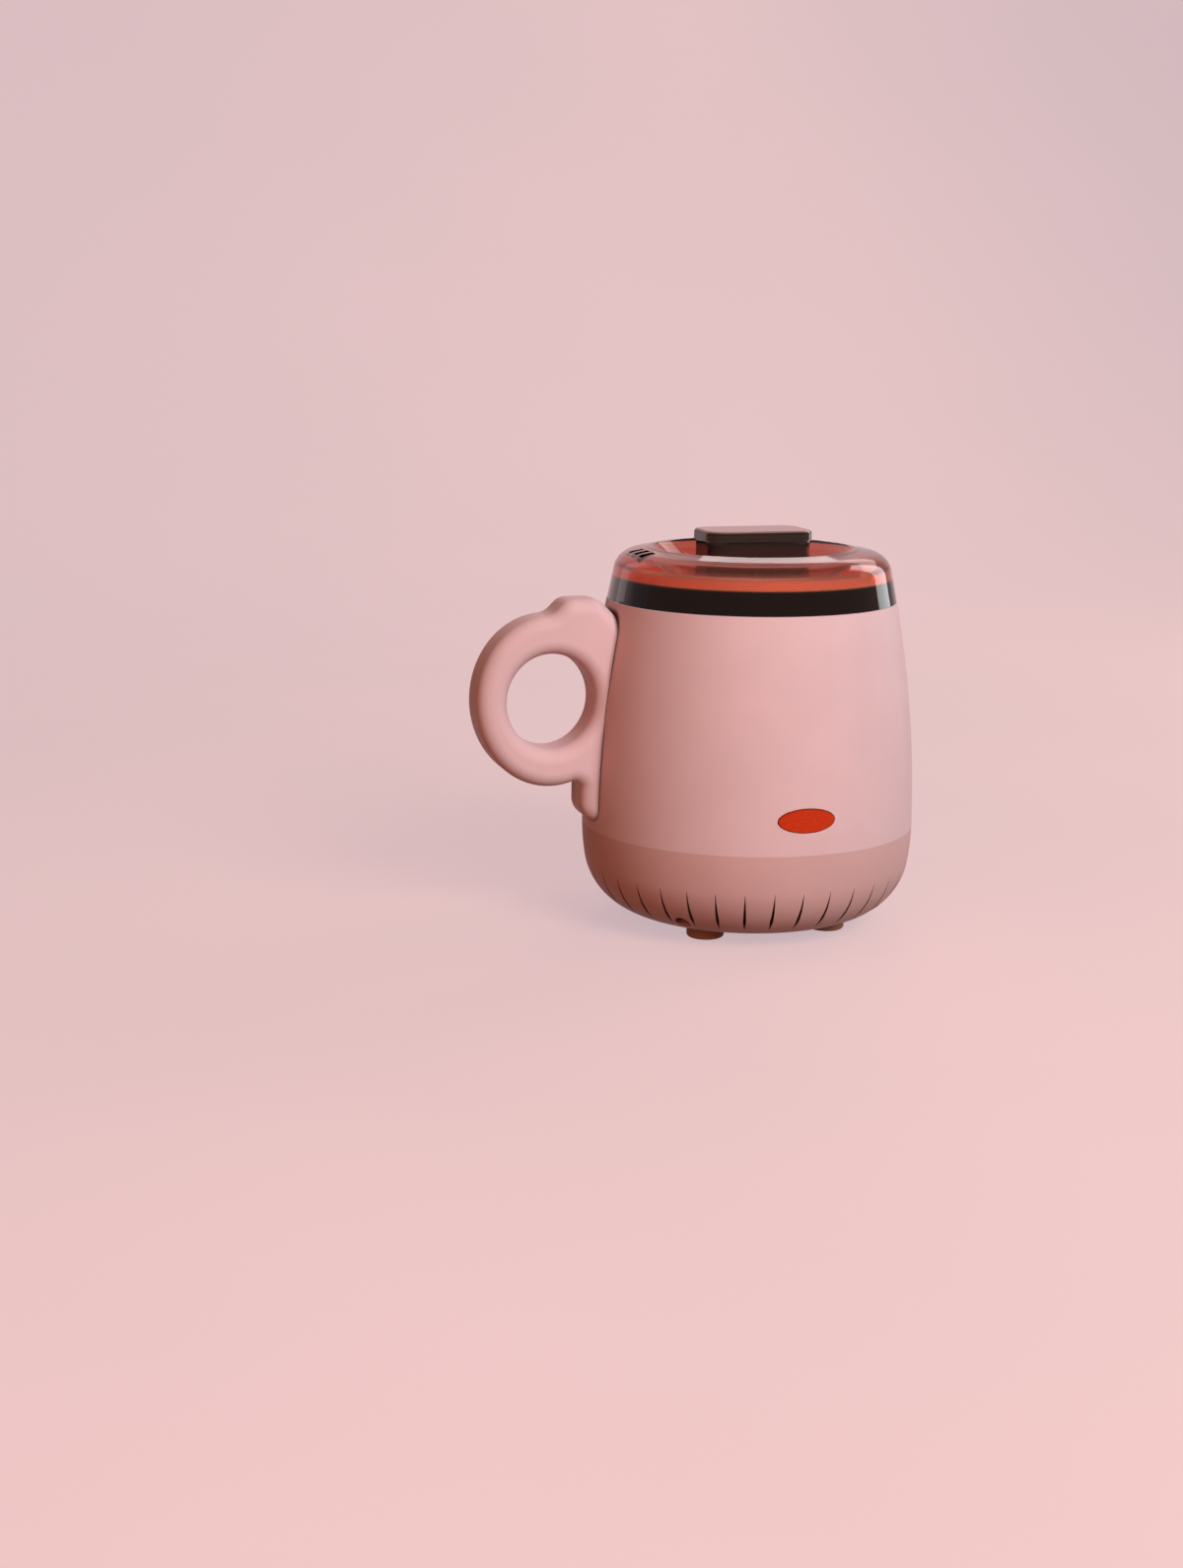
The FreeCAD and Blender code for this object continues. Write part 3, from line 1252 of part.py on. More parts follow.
def lid_shell():
    body = new_body("lid_shell")
    under = f"{DISH_UNDER_SHARE} * lid_wall"
    inner_shoulder = "(shoulder_radius - lid_wall)"
    profile = sketch(body, "XZ_Plane")
    outline(profile, [
        ("lid_radius", "lid_foot"),
        ("shoulder_radius", "shoulder_height"),
        ("dish_rim_radius", "dish_rim_height"),
        ("dish_floor_radius", "dish_floor_height"),
        ("0", "dish_floor_height"),
        ("0", "dish_floor_height - lid_wall"),
        (f"dish_floor_radius + {under}", "dish_floor_height - lid_wall"),
        (f"dish_rim_radius + {under}", "dish_rim_height - lid_wall"),
        (inner_shoulder, "shoulder_height - lid_wall"),
        ("lid_radius - lid_wall", "lid_foot"),
    ])
    turn(body, profile)
    round_edges(body, at_radius("shoulder_radius"), "shoulder_round")
    round_edges(body, at_radius(inner_shoulder), "shoulder_round - lid_wall")
    round_edges(body, at_radius("dish_rim_radius"), "dish_rim_round")

    # Rib that seats the lid on the pot's flange
    rib = sketch(body, "XZ_Plane")
    rib_foot = f"{POT_TOP} + seat_gap"
    rectangle(rib, "seat_rib_radius - seat_rib_thick", "seat_rib_radius",
              rib_foot, "shoulder_height - shoulder_round / 2")
    turn(body, rib)

    # Steam vents on the shoulder beside the handle
    vents = sketch(body, "XY_Plane", "dish_rim_height")
    for step in (-1, 0, 1):
        middle = f"{step} * vent_pitch - vent_shift"
        rectangle(vents, "-vent_outer", "-vent_inner",
                  f"{middle} - vent_width / 2", f"{middle} + vent_width / 2")
    pad(body, vents, "dish_rim_height - shoulder_height + 2 * lid_wall", "Pocket")

    # Hole for the knob's screw
    hole = sketch(body, "XY_Plane", "dish_floor_height")
    circle(hole, "0", "0", "screw_radius + fit_gap")
    pad(body, hole, "lid_wall", "Pocket")
    node(body, "lid_shell")


def rounded_block(body, length, width, corner, foot, high):
    """Pad a rectangle with round corners, centred on the axis."""
    drawing = sketch(body, "XY_Plane", foot)
    along = f"({length}) / 2"
    across = f"({width}) / 2"
    outline(drawing, [
        (f"{along} - {corner}", f"-1 * {across}"),
        (along, f"{corner} - {across}", corner),
        (along, f"{across} - {corner}"),
        (f"{along} - {corner}", across, corner),
        (f"{corner} - {along}", across),
        (f"-1 * {along}", f"{across} - {corner}", corner),
        (f"-1 * {along}", f"{corner} - {across}"),
        (f"{corner} - {along}", f"-1 * {across}", corner),
    ])
    return pad(body, drawing, high)


def knob():
    stem = new_body("knob_stem")
    rounded_block(stem, "stem_length", "stem_width", "stem_corner", STEM_FOOT, "stem_high")
    bite = sketch(stem, "XY_Plane", STEM_FOOT)
    circle(bite, "0", "0", "screw_radius + screw_gap")
    pad(stem, bite, "knob_screw_reach + fit_gap", "Pocket", back=True)
    node(stem, "knob_stem")
    cap = new_body("knob_cap")
    rounded_block(cap, "stem_length + 2 * cap_ledge", "stem_width + 2 * cap_ledge", "stem_corner + cap_ledge",
                  CAP_FOOT, "cap_high")
    top = size(f"{CAP_FOOT} + cap_high")
    round_edges(cap, lambda edge: edge.BoundBox.ZMin > top - SAME_PLACE, "cap_round")
    node(cap, "knob_cap")
    holder = screw("screw", "lid_wall + knob_screw_reach", ("0", "0", f"{STEM_FOOT} - lid_wall"), "+Z")
    node(holder, "knob_screw")


# Leads

def lead_shape(points):
    """A round lead along straight runs, with an arc as large as its runs allow at each point."""
    radius = size("lead_radius")
    edges = []
    start = points[0]
    for before, corner, after in zip(points, points[1:], points[2:]):
        back = before - corner
        ahead = after - corner
        trim = LEAD_ARC_SHARE * min(back.Length, ahead.Length)
        back.normalize()
        ahead.normalize()
        enter = corner + back * trim
        leave = corner + ahead * trim
        half = back.getAngle(ahead) / 2
        bisector = (back + ahead).normalize()
        middle = corner + bisector * (trim / math.cos(half) - trim * math.tan(half))
        edges.append(Part.LineSegment(start, enter).toShape())
        edges.append(Part.Arc(enter, middle, leave).toShape())
        start = leave
    edges.append(Part.LineSegment(start, points[-1]).toShape())
    path = Part.Wire(edges)
    section = Part.Wire(Part.Circle(points[0], points[1] - points[0], radius).toShape())
    return Part.Solid(path.makePipeShell([section], True, False))


def lead_points(start, end, bow, shares):
    """A lead's ends, with the points between them that its shares give."""
    way = end - start
    points = [start + Vector(way.x * toward + bow * aside, way.y * along, way.z * up)
              for toward, aside, along, up in shares]
    return [start] + points + [end]


def leads():
    block_middle = size(f"{BLOCK_FOOT} + block_high / 2")
    block_front = size("block_back - block_width / 2")
    board_back = size("board_thick - board_front")
    solder_height = size("button_height - board_half_tall / 2")
    hole_aside = size("wire_hole_aside")
    tab = Vector(size("tab_aside"), size("thermostat_back"),
                 size(f"{PLATE_FOOT} - thermostat_high - tab_high"))
    fuse_end = Vector(size("fuse_length / 2"), -size("fuse_front"), size(f"{PLATE_FOOT} - clip_high / 2"))
    beside_shield = size("shield_radius + overrun") - hole_aside
    routes = (
        ("lead_mains_to_switch", Vector(-hole_aside, block_front, block_middle),
         Vector(-hole_aside, board_back, solder_height), -hole_aside, SWITCH_LEAD_SHARES),
        ("lead_switch_to_thermostat", Vector(hole_aside, board_back, solder_height),
         tab, hole_aside, THERMOSTAT_LEAD_SHARES),
        ("lead_mains_to_heater", Vector(hole_aside, block_front, block_middle),
         fuse_end, beside_shield, HEATER_LEAD_SHARES),
    )
    for label, start, end, bow, shares in routes:
        points = lead_points(start, end, bow, shares)
        node(shaped(f"{label}_run", lambda: lead_shape(points)), label)


upper_shell()
base_shell()
feet()
base_screws()
handle()
top_collar()
heating_cup()
heater()
thermostat()
thermal_fuse()
power_button()
switch()
terminal_block()
cord_gland()
wax_pot()
lid_shell()
knob()
leads()
doc.recompute()

for item in doc.Objects:
    if {"Invalid", "Error"} & set(item.State):
        raise RuntimeError(f"{item.Name} ({item.Label}) failed: {item.State}")
os.makedirs("parts", exist_ok=True)
for part in parts:
    if part.Shape.isNull() or not part.Shape.isValid():
        raise RuntimeError(f"{part.Label} has no valid shape")
for part in parts:
    part.Shape.exportStep(f"parts/{part.Label}.step")
    print(f"{part.Label}: {len(part.Shape.Solids)} solids, {part.Shape.Volume:.1f} mm3")
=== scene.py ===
"""Wax warmer: materials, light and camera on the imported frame, in metres."""
import math

import bpy
from mathutils import Matrix, Vector

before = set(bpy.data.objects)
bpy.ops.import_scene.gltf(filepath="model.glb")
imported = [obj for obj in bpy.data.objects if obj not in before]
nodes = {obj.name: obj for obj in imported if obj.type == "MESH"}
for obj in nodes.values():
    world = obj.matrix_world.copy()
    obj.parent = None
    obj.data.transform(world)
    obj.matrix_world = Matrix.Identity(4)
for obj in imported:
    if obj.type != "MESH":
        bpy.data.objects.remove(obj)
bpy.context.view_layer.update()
MM = 0.001


# The lid's tint and its painted light and shade: a red-orange glow painted into the lower shoulder, a
# near-black band painted round the foot for the dark collar seen through it, and painted shade in the
# vents; where they are, in the frame's metres, and their colours
BAND_TOP = 140.4 * MM
BAND_BLUR = 0.5 * MM
FOOT_BAND_PAINTED_DARK = (0.024, 0.016, 0.010)
CROWN_TOP = 150.5 * MM
SHOULDER_GLOW_PAINT = (0.97, 0.34, 0.19)
SHOULDER_GLOW_MILK = 0.17
GLOW_MILK_TOP = 147.5 * MM
GLOW_MILK_FOOT = 141 * MM
LID_AXIS_X = 23.75 * MM
DISH_RADIUS = 40.4 * MM
DISH_BLUR = 4 * MM
VENT_X = -23.15 * MM
VENT_Y = -2.2 * MM
VENT_LENGTH = 5.6 * MM
VENT_WIDTH = 4.2 * MM
VENT_PITCH = 6.7 * MM
VENT_EDGE = 0.06 * MM
VENT_PAINTED_SHADE = (0.012, 0.007, 0.005)

# The knob: how milky it is all over, and how much more milky its top is and in what colour, which paints
# light on the top faces; and the colour of the gloss
HAZE_SHARE = 0.02
TOP_LIGHT_MILK_SHARE = 0.73
TOP_PAINTED_LIGHT = (0.36, 0.09, 0.055)
KNOB_SHEEN = (1.0, 0.62, 0.48)
# The normal's Z below which a surface is a side, and above which it is a top
SIDE_BELOW = 0.55
TOP_ABOVE = 0.95

# The lid and knob plastic
AMBER = (0.97, 0.80, 0.75)
AMBER_VARY = 0.03
AMBER_SOAK = (0.80, 0.45, 0.34)
KNOB_SOAK = (0.58, 0.36, 0.20)
AMBER_DENSITY = 430
AMBER_IOR = 1.49
AMBER_ROUGH = 0.03
AMBER_ROUGHEST = 0.06
AMBER_RIPPLE = 0.002 * MM

# Opaque plastic: how far roughness strays, what painted shade in recesses and seams leaves of the colour,
# and the openness it lies between
ROUGH_STRAY = 0.04
RECESS_SHADE_LEFT = (0.12, 0.084, 0.066)
RECESS_SHADE_FULL = 0.45
RECESS_SHADE_NONE = 0.87
SCATTER_RADIUS = (1.0, 0.35, 0.25)
SCATTER_SCALE = 2 * MM
SATIN = 0.04

# Metal: how far roughness strays along its fine lines, and their colours' shares
LINE_STRAY = 0.07
LINE_DULL = 0.9
LINE_BRIGHT = 1.06


# Materials

def new_material(name):
    """A material with a cleared tree: returns it, its tree and its shader."""
    material = bpy.data.materials.new(name)
    material.use_nodes = True
    tree = material.node_tree
    tree.nodes.clear()
    output = tree.nodes.new("ShaderNodeOutputMaterial")
    shader = tree.nodes.new("ShaderNodeBsdfPrincipled")
    tree.links.new(shader.outputs["BSDF"], output.inputs["Surface"])
    return material, tree, shader


def noise(tree, grain, detail=3.0, roughness=0.55, stretch=(1, 1, 1)):
    """A noise over the object's own coordinates whose lumps are about grain across."""
    place = tree.nodes.new("ShaderNodeTexCoord")
    mapping = tree.nodes.new("ShaderNodeMapping")
    mapping.inputs["Scale"].default_value = stretch
    texture = tree.nodes.new("ShaderNodeTexNoise")
    texture.inputs["Scale"].default_value = 1 / grain
    texture.inputs["Detail"].default_value = detail
    texture.inputs["Roughness"].default_value = roughness
    tree.links.new(place.outputs["Object"], mapping.inputs["Vector"])
    tree.links.new(mapping.outputs["Vector"], texture.inputs["Vector"])
    return texture.outputs["Fac"]


def tint(tree, fac, low, high, low_at=0.35, high_at=0.65):
    """A colour ramp from low to high between two values of the factor."""
    ramp = tree.nodes.new("ShaderNodeValToRGB")
    ramp.color_ramp.elements[0].position = low_at
    ramp.color_ramp.elements[0].color = (*low, 1)
    ramp.color_ramp.elements[1].position = high_at
    ramp.color_ramp.elements[1].color = (*high, 1)
    tree.links.new(fac, ramp.inputs["Fac"])
    return ramp.outputs["Color"]


def spread(tree, fac, low, high):
    """A number from low to high over the usual range of a noise."""
    ranged = tree.nodes.new("ShaderNodeMapRange")
    ranged.inputs["From Min"].default_value = 0.3
    ranged.inputs["From Max"].default_value = 0.7
    ranged.inputs["To Min"].default_value = low
    ranged.inputs["To Max"].default_value = high
    tree.links.new(fac, ranged.inputs["Value"])
    return ranged.outputs["Result"]


def bump(tree, shader, fac, height, strength=1.0):
    """Fine relief of the given height on the shader."""
    node = tree.nodes.new("ShaderNodeBump")
    node.inputs["Distance"].default_value = height
    node.inputs["Strength"].default_value = strength
    tree.links.new(fac, node.inputs["Height"])
    tree.links.new(node.outputs["Normal"], shader.inputs["Normal"])


def with_painted_recess_shade(tree, colour, reach, own_only):
    """The colour with painted shade in narrow recesses and in seams between parts, out to the given reach.
    """
    occlusion = tree.nodes.new("ShaderNodeAmbientOcclusion")
    occlusion.samples = 8
    occlusion.only_local = own_only
    occlusion.inputs["Distance"].default_value = reach
    shade = tint(tree, occlusion.outputs["AO"], RECESS_SHADE_LEFT, (1, 1, 1), RECESS_SHADE_FULL, RECESS_SHADE_NONE)
    mix = tree.nodes.new("ShaderNodeMix")
    mix.data_type = "RGBA"
    mix.blend_type = "MULTIPLY"
    mix.inputs["Factor"].default_value = 1.0
    tree.links.new(colour, mix.inputs["A"])
    tree.links.new(shade, mix.inputs["B"])
    return mix.outputs["Result"]


def scaled(colour, share):
    """The colour times a share, with no part above 1."""
    return tuple(min(1.0, part * share) for part in colour)


def plastic(name, colour, rough, grain=0.45 * MM, depth=0.012 * MM, vary=0.035, subsurface=0.0, recess_shade=0.0,
            own_only=False, gloss=0.5):
    """Moulded plastic: a fine spark-eroded grain, faint flow mottling and uneven gloss."""
    material, tree, shader = new_material(name)
    mottle = noise(tree, 30 * MM, detail=2)
    shown = tint(tree, mottle, scaled(colour, 1 - vary), scaled(colour, 1 + vary))
    # Painted shade: occlusion darkens the colour in recesses and seams
    if recess_shade:
        shown = with_painted_recess_shade(tree, shown, recess_shade, own_only)
    tree.links.new(shown, shader.inputs["Base Color"])
    patchy = spread(tree, noise(tree, 12 * MM), rough - ROUGH_STRAY, rough + ROUGH_STRAY)
    tree.links.new(patchy, shader.inputs["Roughness"])
    bump(tree, shader, noise(tree, grain, detail=2), depth)
    shader.inputs["Specular IOR Level"].default_value = gloss
    if subsurface:
        shader.inputs["Subsurface Weight"].default_value = subsurface
        shader.inputs["Subsurface Radius"].default_value = SCATTER_RADIUS
        shader.inputs["Subsurface Scale"].default_value = SCATTER_SCALE
    return material


def metal(name, colour, rough, stretch=(1, 1, 12), depth=0.004 * MM, bare=1.0):
    """Metal with fine drawn or turned lines and uneven gloss: less than fully bare is matt anodised."""
    material, tree, shader = new_material(name)
    shader.inputs["Metallic"].default_value = bare
    lines = noise(tree, 2.4 * MM, detail=4, stretch=stretch)
    shown = tint(tree, lines, scaled(colour, LINE_DULL), scaled(colour, LINE_BRIGHT))
    tree.links.new(shown, shader.inputs["Base Color"])
    tree.links.new(spread(tree, lines, rough - LINE_STRAY, rough + LINE_STRAY), shader.inputs["Roughness"])
    bump(tree, shader, lines, depth)
    return material


def math_node(tree, operation, *values):
    """A Math node whose inputs are numbers or sockets."""
    node = tree.nodes.new("ShaderNodeMath")
    node.operation = operation
    for place, value in zip(node.inputs, values):
        if isinstance(value, (int, float)):
            place.default_value = value
        else:
            tree.links.new(value, place)
    return node.outputs["Value"]


def blended(tree, fac, low, high):
    """From one colour to another by a factor: each is a socket or a colour."""
    mix = tree.nodes.new("ShaderNodeMix")
    mix.data_type = "RGBA"
    tree.links.new(fac, mix.inputs["Factor"])
    for place, colour in ((mix.inputs["A"], low), (mix.inputs["B"], high)):
        if isinstance(colour, tuple):
            place.default_value = (*colour, 1)
        else:
            tree.links.new(colour, place)
    return mix.outputs["Result"]


def own_place(tree):
    """The object's own X, Y and Z."""
    place = tree.nodes.new("ShaderNodeTexCoord")
    split = tree.nodes.new("ShaderNodeSeparateXYZ")
    tree.links.new(place.outputs["Object"], split.inputs["Vector"])
    return split.outputs


def fade(tree, value, start, end):
    """A smooth step from 0 at start to 1 at end."""
    ranged = tree.nodes.new("ShaderNodeMapRange")
    ranged.interpolation_type = "SMOOTHSTEP"
    ranged.inputs["From Min"].default_value = start
    ranged.inputs["From Max"].default_value = end
    tree.links.new(value, ranged.inputs["Value"])
    return ranged.outputs["Result"]


def lid_tint_and_painted_light(tree, shader, clear):
    """The clear colour, deepening down the shoulder to a red-orange that turns partly milky low down: a
    glow painted there over the amber's own tint. Then a near-black band painted round the foot for the dark
    collar seen through the skirt, and painted shade on the vents' walls and edges.
    """
    x, y, z = own_place(tree)
    out_x = math_node(tree, "SUBTRACT", x, LID_AXIS_X)
    radius = math_node(tree, "SQRT", math_node(tree, "MULTIPLY_ADD", out_x, out_x,
                                               math_node(tree, "MULTIPLY", y, y)))
    deep = math_node(tree, "MULTIPLY", fade(tree, z, CROWN_TOP, BAND_TOP),
                     fade(tree, radius, DISH_RADIUS, DISH_RADIUS + DISH_BLUR))
    # Painted glow: the lower shoulder turns partly milky, in the red-orange tint
    hazy = fade(tree, z, GLOW_MILK_TOP, GLOW_MILK_FOOT)
    through = math_node(tree, "MULTIPLY_ADD", hazy, -SHOULDER_GLOW_MILK, 1.0)
    tree.links.new(through, shader.inputs["Transmission Weight"])
    tinted = blended(tree, deep, clear, SHOULDER_GLOW_PAINT)
    # Painted dark band round the foot, for the dark collar seen through the skirt
    foot = fade(tree, z, BAND_TOP + BAND_BLUR, BAND_TOP - BAND_BLUR)
    banded = blended(tree, foot, tinted, FOOT_BAND_PAINTED_DARK)
    # Painted shade on the vents' walls and a thin margin round them
    along = math_node(tree, "COMPARE", x, VENT_X, VENT_LENGTH / 2 + VENT_EDGE)
    across = math_node(tree, "COMPARE", y, VENT_Y, VENT_PITCH + VENT_WIDTH / 2 + VENT_EDGE)
    aside = math_node(tree, "PINGPONG", math_node(tree, "SUBTRACT", y, VENT_Y), VENT_PITCH / 2)
    slot = math_node(tree, "LESS_THAN", aside, VENT_WIDTH / 2 + VENT_EDGE)
    inside = math_node(tree, "MULTIPLY", math_node(tree, "MULTIPLY", along, across), slot)
    return blended(tree, inside, banded, VENT_PAINTED_SHADE)


def facing_up(tree):
    """1 where the surface faces up, and 0 on sides and undersides."""
    geometry = tree.nodes.new("ShaderNodeNewGeometry")
    split = tree.nodes.new("ShaderNodeSeparateXYZ")
    tree.links.new(geometry.outputs["Normal"], split.inputs["Vector"])
    return fade(tree, split.outputs["Z"], SIDE_BELOW, TOP_ABOVE)


def painted_light_top(tree, shader, clear):
    """The clear colour, but milky and pink-brown where the surface faces up: light painted on the top
    faces.
    """
    # Painted light: up-facing faces turn milky and pink-brown
    top = facing_up(tree)
    through = math_node(tree, "MULTIPLY_ADD", top, -TOP_LIGHT_MILK_SHARE, 1 - HAZE_SHARE)
    tree.links.new(through, shader.inputs["Transmission Weight"])
    shader.inputs["Specular Tint"].default_value = (*KNOB_SHEEN, 1)
    return blended(tree, top, clear, TOP_PAINTED_LIGHT)


def see_through(name, soak, marks):
    """Clear amber plastic that darkens with depth, with the marks, painted light and painted shade that the
    given function lays on, and a faint ripple from the mould.
    """
    material, tree, shader = new_material(name)
    swirl = noise(tree, 18 * MM, detail=2)
    clear = tint(tree, swirl, scaled(AMBER, 1 - AMBER_VARY), scaled(AMBER, 1 + AMBER_VARY))
    shader.inputs["Transmission Weight"].default_value = 1.0
    tree.links.new(marks(tree, shader, clear), shader.inputs["Base Color"])
    shader.inputs["IOR"].default_value = AMBER_IOR
    patchy = spread(tree, noise(tree, 9 * MM), AMBER_ROUGH, AMBER_ROUGHEST)
    tree.links.new(patchy, shader.inputs["Roughness"])
    bump(tree, shader, noise(tree, 14 * MM, detail=1), AMBER_RIPPLE, strength=0.5)
    depth = tree.nodes.new("ShaderNodeVolumeAbsorption")
    depth.inputs["Color"].default_value = (*soak, 1)
    depth.inputs["Density"].default_value = AMBER_DENSITY
    tree.links.new(depth.outputs["Volume"], tree.get_output_node("ALL").inputs["Volume"])
    return material


def lit(name, colour, glow):
    """A red window lit from behind, with faint prisms inside."""
    material, tree, shader = new_material(name)
    prisms = noise(tree, 1.6 * MM, detail=1, stretch=(1, 1, 3))
    shown = tint(tree, prisms, scaled(colour, 0.9), scaled(colour, 1.08))
    tree.links.new(shown, shader.inputs["Base Color"])
    tree.links.new(shown, shader.inputs["Emission Color"])
    shader.inputs["Emission Strength"].default_value = glow
    shader.inputs["Roughness"].default_value = 0.4
    shader.inputs["Specular IOR Level"].default_value = 0.3
    return material


# The shells and base get painted shade in recesses and seams, out to the given reach
shell_pink = plastic("shell_pink", (0.70, 0.465, 0.48), 0.42, vary=0.02, subsurface=0.12, recess_shade=3 * MM,
                     gloss=SATIN)
base_pink = plastic("base_pink", (0.62, 0.365, 0.355), 0.46, vary=0.02, subsurface=0.1, recess_shade=9 * MM,
                    own_only=True, gloss=SATIN)
foot_rubber = plastic("foot_rubber", (0.42, 0.19, 0.11), 0.72, grain=0.8 * MM, depth=0.04 * MM)
collar_dark = plastic("collar_dark", (0.014, 0.008, 0.006), 0.28)
black_moulding = plastic("black_moulding", (0.018, 0.018, 0.019), 0.5)
white_moulding = plastic("white_moulding", (0.72, 0.70, 0.66), 0.5)
silicone = plastic("silicone", (0.33, 0.32, 0.31), 0.6)
laminate = plastic("laminate", (0.045, 0.17, 0.07), 0.4, vary=0.1)
sleeve = plastic("sleeve", (0.68, 0.66, 0.62), 0.75, grain=0.7 * MM, depth=0.06 * MM)
aluminium = metal("aluminium", (0.82, 0.82, 0.81), 0.45, bare=0.25)
steel = metal("steel", (0.56, 0.56, 0.55), 0.34, stretch=(1, 1, 1))
lid_amber = see_through("lid_amber", AMBER_SOAK, lid_tint_and_painted_light)
knob_amber = see_through("knob_amber", KNOB_SOAK, painted_light_top)
button_red = lit("button_red", (0.46, 0.026, 0.002), 0.15)
lamp_red = lit("lamp_red", (0.80, 0.06, 0.03), 0.8)

FINISHES = {
    shell_pink: ["upper_shell", "handle_front", "handle_rear"],
    base_pink: ["base_shell"],
    foot_rubber: ["foot_front_left", "foot_front_right", "foot_rear_left", "foot_rear_right"],
    collar_dark: ["top_collar"],
    black_moulding: ["thermostat", "push_switch", "switch_plunger", "cord_gland"],
    white_moulding: ["terminal_block"],
    silicone: ["cup_seal"],
    laminate: ["control_board"],
    sleeve: ["lead_mains_to_switch", "lead_switch_to_thermostat", "lead_mains_to_heater"],
    aluminium: ["wax_pot", "heating_cup", "heating_plate", "thermal_fuse"],
    steel: ["base_screws", "handle_screws", "handle_mount_screws", "bracket_screws", "thermostat_screws",
            "board_screws", "block_screw", "knob_screw", "centre_stud", "stud_nut", "heater_element",
            "heat_shield", "cup_bracket", "stud_spacer", "fuse_clip"],
    lid_amber: ["lid_shell"],
    knob_amber: ["knob_stem", "knob_cap"],
    button_red: ["power_button"],
    lamp_red: ["indicator_lamp"],
}

for material, names in FINISHES.items():
    for name in names:
        piece = nodes[name]
        piece.data.materials.clear()
        piece.data.materials.append(material)
# Light reaches the pot through the lid
nodes["lid_shell"].visible_shadow = False


# Stage: the paper's own colours, its glow from under the object to the back, and where that changes
PAPER_LOW = (0.25, 0.135, 0.10)
PAPER_HIGH = (0.27, 0.145, 0.11)
PAPER_GLOW = (1.0, 0.79, 0.845)
GLOW_NEAR = 0.555
GLOW_FAR = 0.585
GLOW_FROM = 0.1
GLOW_TO = 1.4
# In gloss and glass the paper fades between these distances to a share, as the surround does in gloss
FULL_WITHIN = 1.0
FADED_AT = 2.0
PAPER_IN_GLOSS = 0.45
SURROUND_IN_GLOSS = 0.3
# The surround as light on the object, and as it shows
SURROUND_LIGHT = (0.09, 0.038, 0.018)
SURROUND_SHOWN = (0.76, 0.546, 0.552)
# What the lamps point at, and the settings of those that neither gloss nor glass shows
LAMP_AIM = Vector((0.02, 0.0, 0.08))
UNSEEN = {"in_gloss": False, "in_glass": False}


def seen_glow(tree):
    """How brightly the paper shows. In gloss and glass its sides and front are fainter."""
    x, y, _ = own_place(tree)
    backward = fade(tree, y, GLOW_FROM, GLOW_TO)
    level = math_node(tree, "MULTIPLY_ADD", backward, GLOW_FAR - GLOW_NEAR, GLOW_NEAR)
    inward = fade(tree, math_node(tree, "ABSOLUTE", x), FADED_AT, FULL_WITHIN)
    near_by = math_node(tree, "MULTIPLY", inward, fade(tree, y, -FADED_AT, -FULL_WITHIN))
    soft = math_node(tree, "MULTIPLY_ADD", near_by, 1 - PAPER_IN_GLOSS, PAPER_IN_GLOSS)
    path = tree.nodes.new("ShaderNodeLightPath")
    thrown = math_node(tree, "MAXIMUM", path.outputs["Is Glossy Ray"], path.outputs["Is Transmission Ray"])
    softened = math_node(tree, "MULTIPLY", thrown, soft)
    seen = math_node(tree, "MAXIMUM", path.outputs["Is Camera Ray"], softened)
    return math_node(tree, "MULTIPLY", level, seen)


def sweep():
    """A pale floor that bends up into a backdrop."""
    width, front, back, height, bend = 8.0, -4.0, 1.5, 2.6, 0.6
    profile = [(front, 0.0), (back - bend, 0.0)]
    steps = 16
    for step in range(1, steps + 1):
        angle = math.pi / 2 * step / steps
        profile.append((back - bend + bend * math.sin(angle), bend - bend * math.cos(angle)))
    profile.append((back, height))
    points = [(side * width / 2, y, z) for y, z in profile for side in (-1, 1)]
    faces = [(2 * n, 2 * n + 1, 2 * n + 3, 2 * n + 2) for n in range(len(profile) - 1)]
    mesh = bpy.data.meshes.new("sweep")
    mesh.from_pydata(points, [], faces)
    made = bpy.data.objects.new("sweep", mesh)
    bpy.context.scene.collection.objects.link(made)
    mesh.shade_smooth()
    material, tree, shader = new_material("paper")
    mottle = noise(tree, 300 * MM, detail=2)
    tree.links.new(tint(tree, mottle, PAPER_LOW, PAPER_HIGH), shader.inputs["Base Color"])
    shader.inputs["Roughness"].default_value = 0.9
    shader.inputs["Specular IOR Level"].default_value = 0.1
    shader.inputs["Emission Color"].default_value = (*PAPER_GLOW, 1)
    tree.links.new(seen_glow(tree), shader.inputs["Emission Strength"])
    mesh.materials.append(material)


def lamp(name, place, power, size, colour, in_gloss=True, in_glass=True, in_diffuse=True):
    """A soft lamp of the given width and height that points at the object."""
    light = bpy.data.lights.new(name, "AREA")
    light.shape = "RECTANGLE"
    light.size, light.size_y = size
    light.energy = power
    light.color = colour
    made = bpy.data.objects.new(name, light)
    made.location = place
    made.rotation_euler = (LAMP_AIM - Vector(place)).to_track_quat("-Z", "Y").to_euler()
    made.visible_glossy = in_gloss
    made.visible_transmission = in_glass
    made.visible_diffuse = in_diffuse
    bpy.context.scene.collection.objects.link(made)


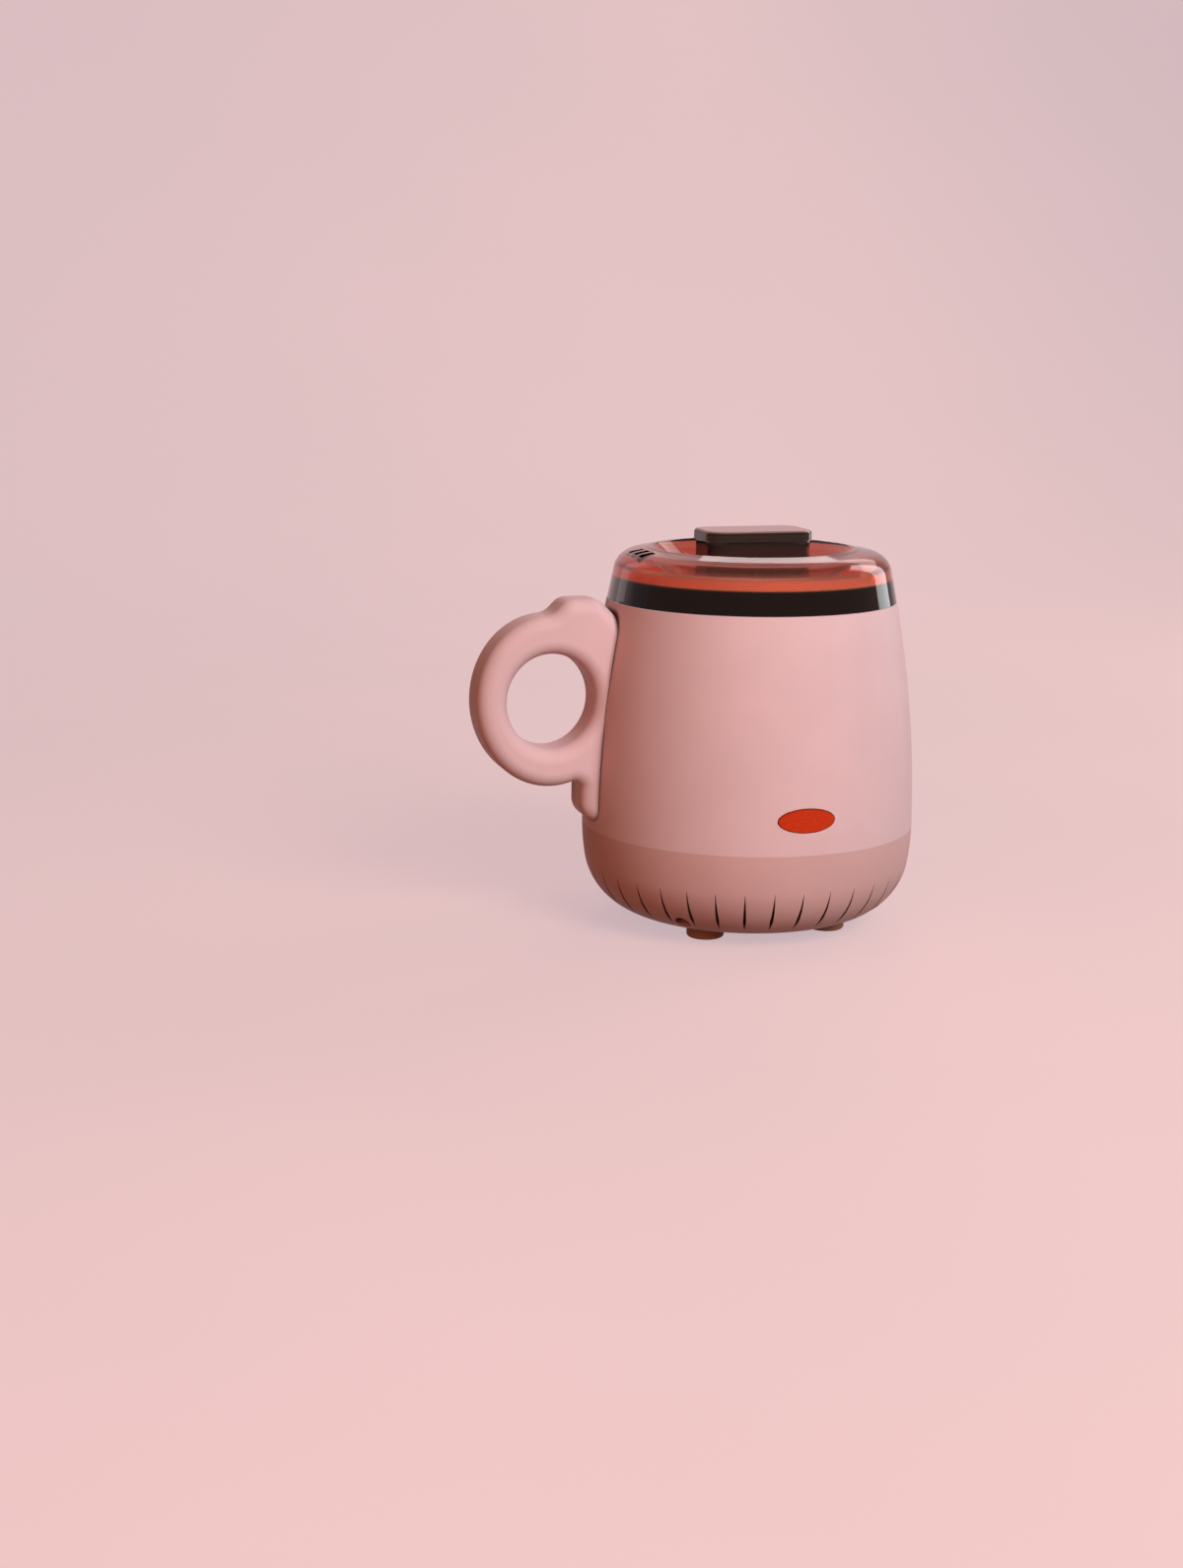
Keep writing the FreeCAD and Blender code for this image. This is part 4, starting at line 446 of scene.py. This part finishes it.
def surround():
    """A world of dim warm light that shows pale to the eye, through glass and more faintly in gloss."""
    world = bpy.data.worlds.new("studio")
    world.use_nodes = True
    tree = world.node_tree
    path = tree.nodes.new("ShaderNodeLightPath")
    gloss = math_node(tree, "MULTIPLY", path.outputs["Is Glossy Ray"], SURROUND_IN_GLOSS)
    direct = math_node(tree, "MAXIMUM", path.outputs["Is Camera Ray"], path.outputs["Is Transmission Ray"])
    shown = math_node(tree, "MAXIMUM", direct, gloss)
    colour = blended(tree, shown, SURROUND_LIGHT, SURROUND_SHOWN)
    tree.links.new(colour, tree.nodes["Background"].inputs["Color"])
    bpy.context.scene.world = world


sweep()
lamp("key", (0.29, -1.07, 0.75), 15.8, (0.6, 0.6), (0.88, 0.98, 1.0), **UNSEEN)
lamp("fill", (-0.56, -0.84, 0.55), 3.0, (0.5, 0.5), (1.0, 0.30, 0.11), **UNSEEN)
lamp("overhead", (0.0, 0.1, 1.0), 1.2, (1.4, 1.0), (1.0, 0.65, 0.50), **UNSEEN)
lamp("back", (0.7, 1.35, 1.0), 5, (0.6, 0.4), (1.0, 0.92, 0.90), **UNSEEN)
lamp("side_right", (0.95, 0.3, 0.45), 3.2, (0.4, 0.9), (0.94, 0.98, 1.0))
lamp("side_left", (-0.6, 0.95, 0.45), 0.4, (0.3, 0.9), (1.0, 0.90, 0.86), in_diffuse=False)
lamp("rear", (1.0, 0.85, 0.85), 3.0, (1.7, 0.36), (1.0, 0.82, 0.78), in_glass=False)
surround()
bpy.context.scene.view_settings.view_transform = "Standard"


# Camera as fitted to the photograph: the eye's place, heading from +Y towards +X, pitch and roll in radians
EYE = (-0.28786, -0.83613, 0.2422)
HEADING = 0.28594
PITCH = -0.2079
ROLL = 0.0101
LENS = 51.32
SENSOR = 36


def camera():
    """The scene's camera."""
    ahead = Vector((math.sin(HEADING), math.cos(HEADING), 0))
    forward = ahead * math.cos(PITCH) + Vector((0, 0, math.sin(PITCH)))
    level = Vector((math.cos(HEADING), -math.sin(HEADING), 0))
    upright = level.cross(forward)
    right = level * math.cos(ROLL) + upright * math.sin(ROLL)
    up = upright * math.cos(ROLL) - level * math.sin(ROLL)
    data = bpy.data.cameras.new("camera")
    data.lens = LENS
    data.sensor_width = SENSOR
    data.sensor_fit = "AUTO"
    made = bpy.data.objects.new("camera", data)
    turn = Matrix((right, up, -forward)).transposed().to_4x4()
    made.matrix_world = Matrix.Translation(EYE) @ turn
    bpy.context.scene.collection.objects.link(made)
    bpy.context.scene.camera = made


camera()
